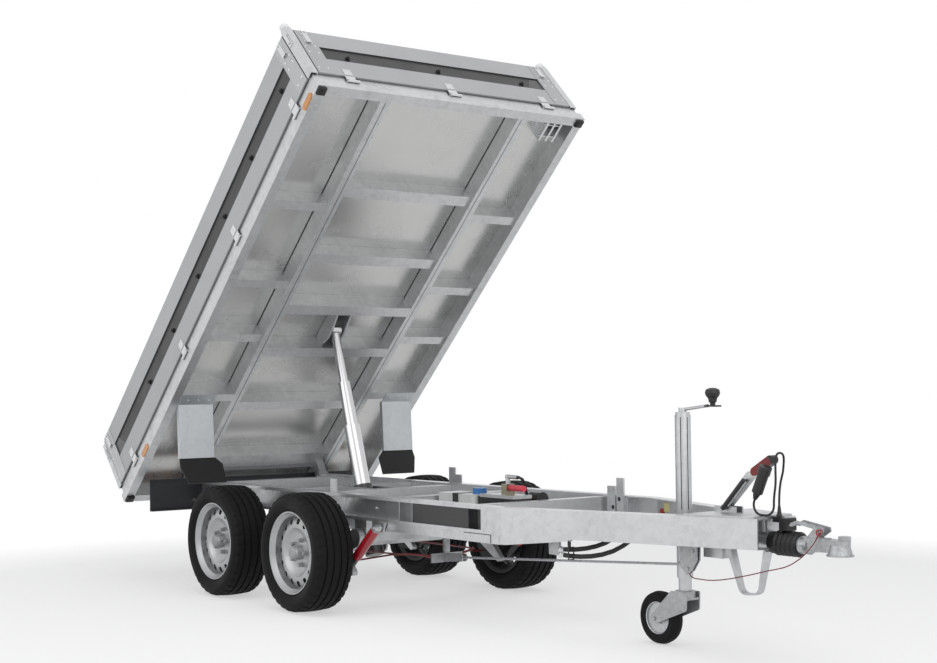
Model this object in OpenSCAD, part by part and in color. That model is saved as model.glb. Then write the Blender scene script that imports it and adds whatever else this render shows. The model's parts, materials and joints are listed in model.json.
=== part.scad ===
// Tandem-axle dump trailer with a tipping bed, drop sides and a jockey wheel.
// Millimetres. +X points to the coupling, +Y to the trailer's left, +Z up, wheels on z = 0.
// The bed is drawn lying flat in its own frame: u from its rear edge, v across, w up from its rim.

/* [Bed] */
// Outside length of the bed
bed_l = 2685; // [2500:5:2760]
// Outside width of the bed
bed_w = 1486; // [1440:2:1520]
// Height of the rim channel under the drop sides
rim_h = 90; // [76:1:100]
// Width of the rim channel
rim_w = 46; // [40:1:56]
// Height of the drop sides above the rim
side_h = 318; // [260:2:400]
// Thickness of a drop side
side_t = 26; // [22:1:30]
// Height of the rim's proud foot, below its recess
foot_h = 44; // [40:1:46]
// Depth of the recess over the foot
foot_step = 10; // [9:1:14]
// Thickness of the floor sheet
floor_t = 5; // [3:0.5:8]
// Angle at which the bed stands tipped
tip = 43.5; // [0:0.5:45]
// Distance from the bed's rear edge to its hinge
bed_overhang = 213; // [190:1:230]
// Height of the bed's underside above its hinge
bed_rise = 73; // [68:1:90]

/* [Chassis] */
// Half of the width over the chassis rails
rail_out = 420; // [400:1:430]
// Height of the rails
rail_h = 108; // [100:1:112]
// Width of the rails' flanges
rail_flange = 60; // [50:1:66]
// Wall thickness of the rails
rail_t = 5; // [3:0.5:6]
// Height of the rails' top above the ground
rail_top = 512; // [505:1:514]
// Bed hinge, forward of the middle between the axles
hinge_x = -988; // [-1000:1:-970]
// Height of the bed hinge
hinge_z = 502; // [500:1:506]
// Front end of the drawbar
drawbar_front = 2572; // [2550:1:2600]
// Half of the width over the drawbar at its front end
drawbar_out = 100; // [96:1:112]

/* [Wheels] */
// Distance between the two axles
axle_gap = 723; // [680:1:760]
// Distance between the middles of the tyres
track = 1168; // [1160:1:1176]
// Outside diameter of a tyre
tyre_d = 525; // [500:1:540]
// Width of a tyre
tyre_w = 195; // [175:1:200]
// Diameter of the rim's flange
rim_d = 365; // [350:1:372]

/* [Coupling] */
// Height of the coupling's middle
coupling_z = 425; // [415:1:435]
// Bore for the tow ball
ball_d = 50; // [45:1:52]

/* [Jockey wheel] */
// Place of the jockey post
jockey_x = 2120; // [2105:1:2130]
// Diameter of the post's outer tube
jockey_tube_d = 60; // [54:1:64]
// Height of the post's top
jockey_top = 868; // [820:2:900]
// Diameter of the jockey wheel
jockey_wheel_d = 200; // [180:2:210]
// Distance from the post to the jockey wheel's axle
jockey_trail = 130; // [110:1:140]

/* [Lift cylinder] */
// Outside diameter of the barrel
barrel_d = 95; // [90:1:100]
// Wall of the barrel and of the hollow stages
stage_wall = 8; // [6:0.5:9]
// Running gap between stages
stage_gap = 0.5; // [0.3:0.1:1]
// Height of the lower pivot
cylinder_z = 215; // [205:1:230]

/* [Hidden] */
$fn = 48;

touch = 0.3;                              // gap between pieces that only touch
run = 5;                                  // gap between pieces that move past each other
cut = 2;                                  // how far a cutter reaches past what it cuts

// The bed's own frame and its place
half_w = bed_w / 2;
bed_rear_x = hinge_x - bed_overhang;
bed_z = hinge_z + bed_rise;
bed_h = rim_h + side_h;
coupling_front = 2895;
bed_back_x = hinge_x - bed_overhang * cos(tip) - (bed_rise + bed_h) * sin(tip);
mid_x = (coupling_front + bed_back_x) / 2; // middle of the whole trailer's length

// Chassis
rail_in = rail_out - rail_flange;
rail_z = rail_top - rail_h;
board_x = -1062;                          // back of the lamp board
board_d = 26;
board_t = 5;
rail_back = board_x + board_t + touch;
bend_x = 1550;
rail_front = bend_x - 132;
hub_z = tyre_d / 2;
tyre_y = track / 2;
tyre_in = tyre_y - tyre_w / 2;
arm_reach = 150;                          // from a wheel's axis forward to its torsion tube
tube_z = 322;
tube_d = 76;
lift_x = 20;                              // the cylinder's lower pivot

module at_frame() translate([-mid_x, 0, 0]) children();
module on_bed() translate([hinge_x - mid_x, 0, hinge_z]) rotate([0, -tip, 0])
    translate([-bed_overhang, 0, bed_rise]) children();
module both_sides() { children(); mirror([0, 1, 0]) children(); }
// A box from ranges along each axis
module span(x, y, z) translate([x[0], y[0], z[0]]) cube([x[1] - x[0], y[1] - y[0], z[1] - z[0]]);
// A profile drawn in Y and Z, extruded along X
module along_x(x) translate([x[0], 0, 0]) rotate([90, 0, 90]) linear_extrude(x[1] - x[0]) children();
// A profile drawn in X and Z, extruded along Y
module along_y(y) translate([0, y[1], 0]) rotate([90, 0, 0]) linear_extrude(y[1] - y[0]) children();
// Rod between two points
module rod(p, q, d) {
    v = q - p;
    len = norm(v);
    translate(p) rotate([0, acos(v[2] / len), atan2(v[1], v[0])]) cylinder(h = len, d = d);
}
module pin_y(x, z, y, d) translate([x, y[0], z]) rotate([-90, 0, 0]) cylinder(h = y[1] - y[0], d = d);

// Chassis rails, open outwards with a lip along each flange
rail_lip = 14;
module rail_profile() difference() {
    translate([rail_in, rail_z]) square([rail_flange, rail_h]);
    translate([rail_in + rail_t, rail_z + rail_t])
        square([rail_flange - 2 * rail_t, rail_h - 2 * rail_t]);
    translate([rail_out - rail_t - cut, rail_z + rail_lip])
        square([rail_t + 2 * cut, rail_h - 2 * rail_lip]);
}
stiffener_x = 850;
web_holes = [-760, -480, 980, 1180];
web_hole_d = 26;
lug_t = 8;
// Upright lugs on the left rail that guide the flat bed: place along the rail, width, top
outer_lugs = [[73, 49, 586], [124, 47, 552]];
inner_lugs = [[1314, 50, 552], [1372, 44, 588]];
inner_lug_y = rail_in - 14;
outer_lug_y = [rail_out - 4.8, rail_out + 3.2];
// Low stop on the right rail: place, width, top
low_stop = [220, 46, bed_z - run - 0.2];
module rail() {
    difference() {
        along_x([rail_back, rail_front]) rail_profile();
        for (x = web_holes)
            translate([x, rail_in - cut, (rail_z + rail_top) / 2]) rotate([-90, 0, 0])
                cylinder(h = rail_t + 2 * cut, d = web_hole_d);
    }
    span([stiffener_x, stiffener_x + rail_t], [rail_in + rail_t, rail_out], [rail_z + rail_t,
        rail_top - rail_t]);
}
module guide_lugs() {
    for (p = outer_lugs) span([p[0], p[0] + p[1]], outer_lug_y, [rail_top - cut, p[2]]);
    for (p = inner_lugs) {
        span([p[0], p[0] + p[1]], [inner_lug_y, rail_in + cut], [rail_z + 12, rail_top - rail_t]);
        span([p[0], p[0] + p[1]], [inner_lug_y, inner_lug_y + lug_t], [rail_z + 12, p[2]]);
    }
}
module bed_stop() span([low_stop[0], low_stop[0] + low_stop[1]], [rail_in, rail_in + lug_t],
    [rail_top - cut, low_stop[2]]);
// Spacer channels under the rails, forward of the axles
under_start = 640;
under_end = 1527;
under_z = [368, rail_z - touch];
under_y = [rail_in + 6, rail_out - 4];
module under_beams() at_frame() color("silver") both_sides() difference() {
    span([under_start, under_end], under_y, under_z);
    span([under_start - cut, under_end + cut], [under_y[0] - cut, under_y[1] - rail_t],
         [under_z[0] + rail_t, under_z[1] - rail_t]);
}
module rail_left() at_frame() color("silver") {
    rail();
    guide_lugs();
}
module rail_right() at_frame() color("silver") mirror([0, 1, 0]) {
    rail();
    bed_stop();
}

// Drawbar beams, open inwards, bent to meet at the coupling
bar_slope = (rail_out - drawbar_out) / (drawbar_front - bend_x);
bar_skew = sqrt(1 + bar_slope * bar_slope);
function bar_y(x) = x < bend_x ? rail_out : rail_out - bar_slope * (x - bend_x);
bar_start = rail_front + touch;
module bar_plan(depth) {
    inner = depth * bar_skew;
    polygon([[bar_start, rail_out], [bend_x, rail_out], [drawbar_front, drawbar_out],
             [drawbar_front, drawbar_out - inner],
             [bend_x - (inner - depth) / bar_slope, rail_out - depth], [bar_start, rail_out - depth]]);
}
module drawbar() {
    translate([0, 0, rail_z]) linear_extrude(rail_t) bar_plan(rail_flange);
    translate([0, 0, rail_top - rail_t]) linear_extrude(rail_t) bar_plan(rail_flange);
    translate([0, 0, rail_z]) linear_extrude(rail_h) bar_plan(rail_t);
    span([bar_start, bar_start + 8], [rail_in, rail_out], [rail_z, rail_top]);
    // Tapered gusset under the bend
    intersection() {
        translate([0, 0, gusset_z]) linear_extrude(rail_z - gusset_z + 1) bar_plan(10);
        along_y([0, rail_out + cut]) polygon([[gusset_x[0], gusset_z], [gusset_x[0] + 30, gusset_z - 0.1],
            [gusset_x[1], rail_z - 6], [gusset_x[1], rail_z + 1], [gusset_x[0], rail_z + 1]]);
    }
}
gusset_x = [under_end + 9, under_end + 320];
gusset_z = under_z[0] + 2;
module drawbar_left() at_frame() color("silver") drawbar();
module drawbar_right() at_frame() color("silver") mirror([0, 1, 0]) drawbar();

// Crossmembers between the rails: place and width along X
cross_rows = [[-930, 50], [lift_x - 225, 56], [lift_x + 120, 56], [680, 50], [rail_front - 148, 50]];
cross_t = 5;
cross_h = 80;
cross_top = rail_top - 8;
cross_z = cross_top - cross_h;
module channel_profile(w, h, t) difference() {
    square([w, h]);
    translate([t, -cut]) square([w - 2 * t, h - t + cut]);
}
module crossmembers() at_frame() color("silver") {
    for (c = cross_rows)
        translate([c[0] - c[1] / 2, 0, cross_z]) along_y([-(rail_in - touch), rail_in - touch])
            channel_profile(c[1], cross_h, cross_t);
    jockey_cross();
    both_sides() hinge_lugs();
}
// Short crossmember that carries the jockey wheel's clamp
jockey_cross_x = jockey_x + 62;
jockey_cross_z = rail_top - rail_t - touch - 70;
module jockey_cross() {
    y = bar_y(jockey_cross_x + 40) - rail_t * bar_skew - touch;
    translate([jockey_cross_x, 0, jockey_cross_z]) along_y([-y, y]) channel_profile(40, 70, cross_t);
}
// Pair of lugs at the back of each rail, with the pin that the bed turns on
hinge_pin_d = 24;
knuckle_w = 44;
lug_top = hinge_z + 26;
module hinge_lugs() {
    inner = rail_in - touch;
    for (y = [inner - lug_t, inner - lug_t - knuckle_w - 2 * 1.5 - lug_t])
        along_y([y, y + lug_t]) hull() {
            translate([hinge_x, hinge_z]) circle(d = 52);
            translate([hinge_x - 20,
                cross_z]) square([cross_rows[0][0] - cross_rows[0][1] / 2 + cut - hinge_x + 20, cross_h]);
        }
    pin_y(hinge_x, hinge_z, [inner - 2 * lug_t - knuckle_w - 3 - 6, inner], hinge_pin_d);
}
knuckle_y = rail_in - touch - lug_t - 1.5 - knuckle_w;

// Cradle that hangs the cylinder's trunnions under two crossmembers
cradle_t = 10;
cradle_in = barrel_d / 2 + 8;
trunnion_d = 30;
cradle_back = cross_rows[1][0] + cross_rows[1][1] / 2 + touch;
cradle_front = cross_rows[2][0] - cross_rows[2][1] / 2 - touch;
module cylinder_cradle() at_frame() color("silver") both_sides()
    difference() {
        along_y([cradle_in, cradle_in + cradle_t]) hull() {
            translate([cradle_back, cross_z]) square([cradle_front - cradle_back, cross_h]);
            translate([lift_x, cylinder_z]) circle(d = 46);
        }
        pin_y(lift_x, cylinder_z, [cradle_in - cut, cradle_in + cradle_t + cut], trunnion_d + 2 * touch);
    }

// Torsion axle: tube, saddles, trailing arms, brake back plates and stubs
arm_y = 400;
arm_t = 26;
back_plate_y = 446;
drum_d = 230;
damper_y = 452;
damper_low = [118, -94];                  // lower eye, from the wheel's axis
module axle(x) {
    tube_x = x + arm_reach;
    translate([tube_x, 0, tube_z]) rotate([90, 0, 0]) rotate([0, 0, 30])
        translate([0, 0, -arm_y]) cylinder(h = 2 * arm_y, d = tube_d, $fn = 6);
    both_sides() {
        difference() {
            span([tube_x - 46, tube_x + 46], [rail_in + 4, rail_in + 34], [tube_z - 18, rail_z - touch]);
            translate([tube_x, rail_in, tube_z]) rotate([90, 0, 0]) rotate([0, 0, 30])
                translate([0, 0, -rail_flange]) cylinder(h = 2 * rail_flange, d = tube_d - 1, $fn = 6);
        }
        along_y([arm_y, arm_y + arm_t]) union() {
            hull() {
                translate([tube_x, tube_z]) circle(d = 84);
                translate([x, hub_z]) circle(d = 70);
            }
            hull() {
                translate([x, hub_z]) circle(d = 70);
                translate([x + damper_low[0], hub_z + damper_low[1]]) circle(d = 30);
            }
        }
        pin_y(x + damper_low[0], hub_z + damper_low[1], [arm_y + arm_t, damper_y + 22], 12);
        pin_y(x, hub_z, [arm_y + arm_t, back_plate_y], 62);
        pin_y(x, hub_z, [back_plate_y, back_plate_y + 8], drum_d);
        pin_y(x, hub_z, [back_plate_y + 8, hub_face + 44], stub_d);
    }
}
// Inner face of the brake drum, which is part of the wheel
hub_face = back_plate_y + 8 + 3;
stub_d = 40;
module axle_front() at_frame() color("silver") axle(axle_gap / 2);
module axle_rear() at_frame() color("silver") axle(-axle_gap / 2);

// Dampers from the arms up to lugs under the rails
damper_top = [364, 118];                  // upper eye, from the wheel's axis
damper_d = 44;
module damper(x) {
    low = [x + damper_low[0], damper_y, hub_z + damper_low[1]];
    top = [x + damper_top[0], damper_y, hub_z + damper_top[1]];
    dir = (top - low) / norm(top - low);
    difference() {
        union() {
            rod(low + dir * 8, low + dir * 150, 32);
            rod(low + dir * 120, top - dir * 8, damper_d);
            for (p = [low, top]) pin_y(p[0], p[2], [damper_y - 16, damper_y + 16], 30);
        }
        for (p = [low, top]) pin_y(p[0], p[2], [damper_y - 17, damper_y + 17], 13);
    }
    // Lug and bolt at the upper end
    along_y([damper_y - 24 - 8, damper_y - 24]) hull() {
        translate([top[0], top[2]]) circle(d = 36);
        translate([top[0] - 30, rail_z - touch - 4]) square([60, 4]);
    }
    pin_y(top[0], top[2], [damper_y - 26, damper_y + 22], 12.4);
}
module dampers() at_frame() color("firebrick")
    for (x = [-axle_gap / 2, axle_gap / 2]) both_sides() damper(x);

// Brake rod, equaliser and the cables' anchor plate under the chassis
brake_y = -54;
brake_rod_d = 10;
brake_low = [800, 233];                   // the rod's rear end, in X and Z
brake_high = [jockey_x + 56, 320];        // and its front end, at the reversing lever
yoke_x = 684;                             // plate that pulls the four brake cables
yoke_half = 84;
yoke_h = 40;
lever_plate = 6;
module brake_linkage() at_frame() color("gray") {
    rod([brake_low[0], brake_y, brake_low[1]], [brake_high[0], brake_y, brake_high[1]], brake_rod_d);
    // Equaliser: two long links between the rod and the yoke
    for (s = [-1, 1]) along_y([brake_y + s * 12 - 3, brake_y + s * 12 + 3]) hull() {
        translate(brake_low + [8, 0]) circle(d = 34);
        translate([yoke_x + 10, brake_low[1] - 8]) circle(d = 34);
    }
    pin_y(brake_low[0] + 8, brake_low[1], [brake_y - 22, brake_y + 22], 14);
    span([yoke_x, yoke_x + 8], [brake_y - yoke_half, brake_y + yoke_half],
         [brake_low[1] - 8 - yoke_h / 2, brake_low[1] - 8 + yoke_h / 2]);
    span([yoke_x + 8, yoke_x + 20], [brake_y - 20, brake_y + 20], [brake_low[1] - 20, brake_low[1] + 4]);
    span([yoke_x - 2, yoke_x + 8], [brake_y - 16, brake_y + 16], [brake_low[1], cross_z - touch]);
    // Reversing lever of the brake, hung beside the jockey post
    for (y = [-64, -50]) along_y([y, y + lever_plate]) polygon([
        [jockey_x + 40, 310], [jockey_x + 72, 284], [jockey_x + 96, 300], [jockey_x + 124, 340],
        [jockey_x + 126, jockey_cross_z - touch], [jockey_x + 36, jockey_cross_z - touch]]);
    pin_y(jockey_x + 76, 306, [-68, -44], 14);
    pin_y(jockey_x + 104, 372, [-68, -44], 14);
    // Bracket under the right beam that holds the hoses' fittings
    span([1716, hose_bracket], [-322, -312], [340, rail_z - touch]);
}
hose_bracket = 1776;

// Lamp board behind the rails, with the rear lamps on its back
board_half = 660;
board_z = [362, 524];
module lamp_board() at_frame() color("dimgray") difference() {
    along_y([-board_half, board_half]) polygon([
        [board_x, board_z[0]], [board_x + board_d, board_z[0]], [board_x + board_d, board_z[0] + board_t],
        [board_x + board_t, board_z[0] + board_t], [board_x + board_t, board_z[1] - board_t],
        [board_x + board_d, board_z[1] - board_t], [board_x + board_d, board_z[1]], [board_x, board_z[1]]]);
    for (y = [-180, 180]) translate([board_x - cut, y, 450]) rotate([0, 90, 0]) cylinder(h = 30, d = 30);
}
module rear_lamps() at_frame() color("red") both_sides() hull() {
    span([board_x - touch - 6, board_x - touch], [board_half - 270, board_half - 20], [392, 500]);
    span([board_x - touch - 22, board_x - touch - 20], [board_half - 262, board_half - 28], [400, 492]);
}

// Hydraulic power unit between the rails: motor, valve block and tank
pump_y = -60;
pump_z = 482;
pump_x = [990, rail_front - 180];         // back and front of the motor
tray_x = [cross_rows[3][0] + cross_rows[3][1] / 2 + touch, cross_rows[4][0] - cross_rows[4][1] / 2 - touch];
tray_z = pump_z - 52;
tray_t = 5;
tank_d = 40;
block_x = pump_x[0] + 150;                // valve block
remote_x = [940, 1328];                   // box for the hand remote, in the right rail
module pump_unit() at_frame() color("dimgray") {
    span(tray_x, [pump_y - 62, pump_y + 150], [tray_z, tray_z + tray_t]);
    span([pump_x[0], pump_x[1]], [pump_y - 44, pump_y + 44], [tray_z + 1, pump_z + 34]);
    span([pump_x[0] + 20, pump_x[1]], [pump_y - 50, pump_y + 50], [pump_z + 30, pump_z + 44]);
    span([block_x - 18, block_x + 18], [pump_y - 22, pump_y + 22], [pump_z + 40, pump_z + 88]);
    translate([block_x + 16, pump_y, pump_z + 72]) rotate([0, 90, 0]) cylinder(h = 92, d = 26);
    translate([block_x, pump_y, pump_z + 86]) cylinder(h = 42, d = 20);
    translate([block_x - 8, pump_y, pump_z + 118]) rotate([0, 90, 0]) cylinder(h = 74, d = 18);
    // Loom box beside the motor
    translate([tray_x[1] - 72, pump_y + 108, pump_z + 20]) rotate([0, 90, 0]) cylinder(h = 66, d = 66);
    span([tray_x[1] - 66, tray_x[1] - 16], [pump_y + 84, pump_y + 130], [tray_z + 1, pump_z]);
    span(remote_x, [-(rail_out - 8), -(rail_in + rail_t)], [rail_z + 8, rail_top - 12]);
}
module pump_tank() at_frame() color("white") {
    hull() for (x = [tray_x[0] + 30, pump_x[0] - 30], y = [-44, 44])
        translate([x, pump_y + y, tray_z + tray_t + touch]) cylinder(h = 84, d = tank_d, $fn = 24);
    translate([pump_x[0] - 45, pump_y, tray_z + tray_t + 80]) cylinder(h = 30, d = 62);
}

// Hydraulic hose, wiring and brake cables, held at both ends
function bez(a, b, c, d, n) = [for (i = [0:n]) let (s = i / n)
    a * pow(1 - s, 3) + 3 * b * s * pow(1 - s, 2) + 3 * c * s * s * (1 - s) + d * s * s * s];
// Tube of a fixed number of sides swept along points
function unit3(v) = v / norm(v);
function swept_ring(pts, i, d, sides) = let (
    t = unit3(pts[min(i + 1, len(pts) - 1)] - pts[max(i - 1, 0)]),
    a = unit3(cross(t, abs(t[1]) < 0.9 ? [0, 1, 0] : [1, 0, 0])),
    b = cross(t, a))
    [for (k = [0:sides - 1]) pts[i] + (a * cos(360 * k / sides) + b * sin(360 * k / sides)) * d / 2];
module swept(pts, d, sides) {
    n = len(pts);
    polyhedron(points = [for (i = [0:n - 1]) each swept_ring(pts, i, d, sides)],
        faces = concat([[for (k = [0:sides - 1]) k]],
            [[for (k = [sides - 1:-1:0]) (n - 1) * sides + k]],
            [for (i = [0:n - 2]) for (k = [0:sides - 1])
                [i * sides + k, (i + 1) * sides + k, (i + 1) * sides + (k + 1) % sides,
                    i * sides + (k + 1) % sides]]));
}
// Hoses and cables: routes of joined curves, each with its diameter
yoke_z = brake_low[1] - 8;
// The rear pair runs inside the front pair
function cable_route(y0, side, x) = let (in = x < 0 ? 18 : 0)
    concat([[yoke_x - touch, y0, yoke_z]],
        bez([yoke_x - 12, y0, yoke_z], [yoke_x - 50, y0, yoke_z], [640, side * (130 - in), 236],
            [570, side * (190 - in), 238], 5),
        bez([520, side * (220 - in), 236], [x + 120, side * 260, 230], [x - 61, side * 330, 190],
            [x - 61, side * 432, 190], 10),
        [[x - 61, side * (back_plate_y - touch), 190]]);
hose_d = 18;
lift_hose_z = 455;
loom_y = pump_y + 108;
hose_rows = [
    [concat([[hose_bracket + touch, -317, 364]],
            bez([1790, -317, 364], [1850, -316, 364], [1905, -240, 366], [1955, -205, 410], 6),
            bez([1975, -190, 428], [2000, -172, 452], [2030, -190, 460], [2050, 6 - bar_y(2050) + 9,
                460], 4)), hose_d],
    [concat([[hose_bracket + touch, -317, 343]],
            bez([1790, -317, 343], [1870, -316, 338], [1950, -250, 336], [2005, -205, 385], 6),
            bez([2030, -182, 410], [2055, -160, 440], [2085, -172, 452], [2105, 6 - bar_y(2105) + 9,
                452], 4)), hose_d],
    [concat([[block_x + 66 + touch, pump_y, pump_z + 118]],
            bez([block_x + 76, pump_y, pump_z + 118], [block_x + 130, pump_y, pump_z + 118],
                [tray_x[1] - 120, loom_y - 6, pump_z + 24], [tray_x[1] - 92, loom_y, pump_z + 20], 6),
            [[tray_x[1] - 72 - touch, loom_y, pump_z + 20]]), 13],
    [concat([[830, pump_y + 150 + touch, tray_z + 2]],
            bez([830, 110, tray_z + 2], [830, 150, tray_z], [800, 170, 400], [700, 170, 392], 6),
            bez([600, 150, 390], [520, 60, 386], [420, 40, 386], [340, 40, 392], 4),
            bez([290, 40, 402], [240, 40, 420], [225, 40, lift_hose_z], [182, 40, lift_hose_z], 5),
            [[cross_rows[2][0] + cross_rows[2][1] / 2 + touch, 40, lift_hose_z]]), 14],
    [cable_route(brake_y + 66, 1, axle_gap / 2), 8], [cable_route(brake_y - 66, -1, axle_gap / 2), 8],
    [cable_route(brake_y + 36, 1, -axle_gap / 2), 8], [cable_route(brake_y - 36, -1, -axle_gap / 2), 8]];
module hoses() at_frame() color("black") for (h = hose_rows) swept(h[0], h[1], 8);

// Overrun housing between the drawbar beams, with its top plate and socket holder
housing_d = 66;
housing_x = [2260, 2555];
plate_t = 6;
bar_inner = function (x) bar_y(x) - rail_flange * bar_skew;
module overrun_housing() at_frame() color("silver") {
    difference() {
        union() {
            translate([housing_x[0], 0, coupling_z]) rotate([0, 90, 0])
                cylinder(h = housing_x[1] - housing_x[0], d = housing_d);
            span([housing_x[0] + 30, housing_x[1] - 40], [-12, 12], [coupling_z + 20,
                rail_top + touch + 1]);
        }
        translate([housing_x[0] + 20, 0, coupling_z]) rotate([0, 90, 0]) cylinder(h = 300,
            d = shaft_d + 2 * touch);
    }
    // Top plate, slotted for the handbrake lever
    difference() {
        translate([0, 0, rail_top + touch]) linear_extrude(plate_t)
            polygon([[2290, -bar_y(2290) + 12], [2556, -bar_y(2556) + 6], [2556, bar_y(2556) - 6],
                     [2290, bar_y(2290) - 12]]);
        span([lever_path[0][0] - 24, lever_path[0][0] + 44], [-13, 13], [rail_top,
            rail_top + plate_t + cut]);
    }
    // Handbrake quadrant
    for (y = [-14 - plate_t, 14]) along_y([y, y + plate_t]) difference() {
        translate([2294, rail_top + touch + plate_t - cut]) square([104, 24]);
        translate(lever_path[0]) circle(d = 13);
    }
    // Socket that parks the plug, on a fold of the top plate
    span([2546, 2554.5], [-30, 30], [coupling_z + 30, rail_top + touch + plate_t]);
    span([2554, 2612], [-8, 8], [rail_top - 14, rail_top - 6]);
    span([2604, 2641], [-24, 24], [boot_top + 2, rail_top + 2]);
    // Stop bolt and damper eye under the housing
    span([2236, 2330], [-20, 20], [350, coupling_z - housing_d / 2 + 4]);
}
shaft_d = 46;

// Rubber bellows
boot_rows = 6;
boot_x = [2555, 2684];
boot_r = [38, 44];                        // at the valleys and at the folds
boot_top = coupling_z + boot_r[1];
module overrun_boot() at_frame() color("black") {
    step = (boot_x[1] - boot_x[0]) / boot_rows;
    translate([boot_x[0] + touch, 0, coupling_z]) rotate([0, 90, 0]) rotate_extrude()
        polygon(concat([[shaft_d / 2 + touch, 0]],
            [for (i = [0:boot_rows - 1]) let (r = i == 0 ? boot_r[0] + 1 : boot_r[1])
                each [[boot_r[0], i * step], [r, (i + 0.35) * step], [r, (i + 0.65) * step]]],
            [[boot_r[0] - 2, boot_rows * step - 2 * touch], [shaft_d / 2 + touch,
                boot_rows * step - 2 * touch]]));
}

// Drawbar shaft and ball coupling
neck_l = 40;
head_z = [coupling_z - 16, coupling_z + 30];
skirt_z = coupling_z - 26;
module coupling_head() at_frame() color("silver") {
    ball_x = coupling_front - 46;
    translate([housing_x[0] + 60, 0, coupling_z]) rotate([0, 90, 0])
        cylinder(h = boot_x[1] - housing_x[0] - 60 + 12, d = shaft_d);
    difference() {
        union() {
            translate([boot_x[1], 0, coupling_z]) rotate([0, 90, 0]) cylinder(h = neck_l, d = 62);
            // Pressed head, waisted behind the ball
            hull() {
                translate([boot_x[1] + neck_l - 8, 0, head_z[0] - 4]) cylinder(h = 50, d = 50, $fn = 32);
                translate([boot_x[1] + neck_l + 62, 0, head_z[0]]) cylinder(h = 46, d = 44, $fn = 32);
            }
            hull() {
                translate([boot_x[1] + neck_l + 56, 0, head_z[0]]) cylinder(h = 44, d = 44, $fn = 32);
                translate([ball_x + 8, 0, head_z[0]]) cylinder(h = 42, d = 58, $fn = 32);
            }
            translate([ball_x, 0, skirt_z + 4]) cylinder(h = 34, d1 = 84, d2 = 66);
            translate([ball_x, 0, skirt_z]) cylinder(h = 5, d = 92);
            // Indicator housing on the nose
            span([ball_x + 4, coupling_front - 12], [-15, 15], [head_z[1] - 8, head_z[1] + 12]);
        }
        translate([ball_x, 0, skirt_z - cut]) cylinder(h = 40 + cut, d = ball_d);
    }
    // Cross bolt through the neck
    pin_y(boot_x[1] + 25, coupling_z - 8, [-42, 42], 24);
}
handle_z = coupling_z + 30 + touch;       // the handle's cheeks stand on the head's neck
handle_t = 5;
handle_y = 17;
module coupling_handle() at_frame() color("silver") {
    for (y = [-handle_y - handle_t, handle_y]) along_y([y, y + handle_t]) polygon([
        [2724, handle_z], [2762, handle_z], [2796, coupling_z + 52], [2794, coupling_z + 66],
        [2680, coupling_z + 84], [2652, coupling_z + 74], [2647, coupling_z + 64], [2660, coupling_z + 62],
        [2684, coupling_z + 72], [2752, coupling_z + 60]]);
    span([2664, 2700], [-handle_y, handle_y], [coupling_z + 72, coupling_z + 78]);
    span([2728, 2756], [-handle_y, handle_y], [handle_z, handle_z + 5]);
}

// Handbrake lever, pivoted in the quadrant
lever_path = [[2331, rail_top + 18], [2455, 654], [2556, 713]];
lever_r = 15;
grip_dir = (lever_path[2] - lever_path[1]) / norm(lever_path[2] - lever_path[1]);
module handbrake_lever() at_frame() color("silver") {
    along_y([-12, 12]) difference() {
        hull() {
            translate(lever_path[0]) circle(d = 26);
            translate(lever_path[1]) circle(r = lever_r);
        }
        translate(lever_path[0]) circle(d = 12.6);
    }
    pin_y(lever_path[0][0], lever_path[0][1], [-14 - plate_t - 4, 14 + plate_t + 4], 12);
}
// Gas strut beside the lever
strut_y = -32;
strut_low = [lever_path[0][0] + 14, rail_top + 20];
strut_high = lever_path[0] + (lever_path[1] - lever_path[0]) * 0.92 + [5, -5];
module handbrake_strut() at_frame() color("black") {
    rod([strut_low[0], strut_y, strut_low[1]], [strut_high[0], strut_y, strut_high[1]], 17);
    pin_y(strut_low[0] + 2, strut_low[1] + 1, [strut_y, -14 - plate_t - touch], 10);
    pin_y(strut_high[0] - 4, strut_high[1] - 2, [strut_y, -12 - touch], 10);
}
module handbrake_grip() at_frame() color("black") along_y([-15, 15]) hull() {
    translate(lever_path[1] + grip_dir * (2 * lever_r + touch)) circle(r = lever_r);
    translate(lever_path[2]) circle(d = 32);
}

// Flat bar bow under the coupling
bow_w = 30;
bow_t = 6;
module rest_bow() at_frame() color("silver") along_y([-bow_w / 2, bow_w / 2]) difference() {
    offset(r = bow_t / 2) bow_line(0);
    offset(r = -bow_t / 2) bow_line(60);
}
bow_top = coupling_z - housing_d / 2 - bow_t / 2 - touch;
module bow_line(over) hull() {
    translate([2346, bow_top + over]) square([188, 0.1]);
    translate([2430, 262]) circle(r = 30);
    translate([2466, 266]) circle(r = 32);
}

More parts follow.
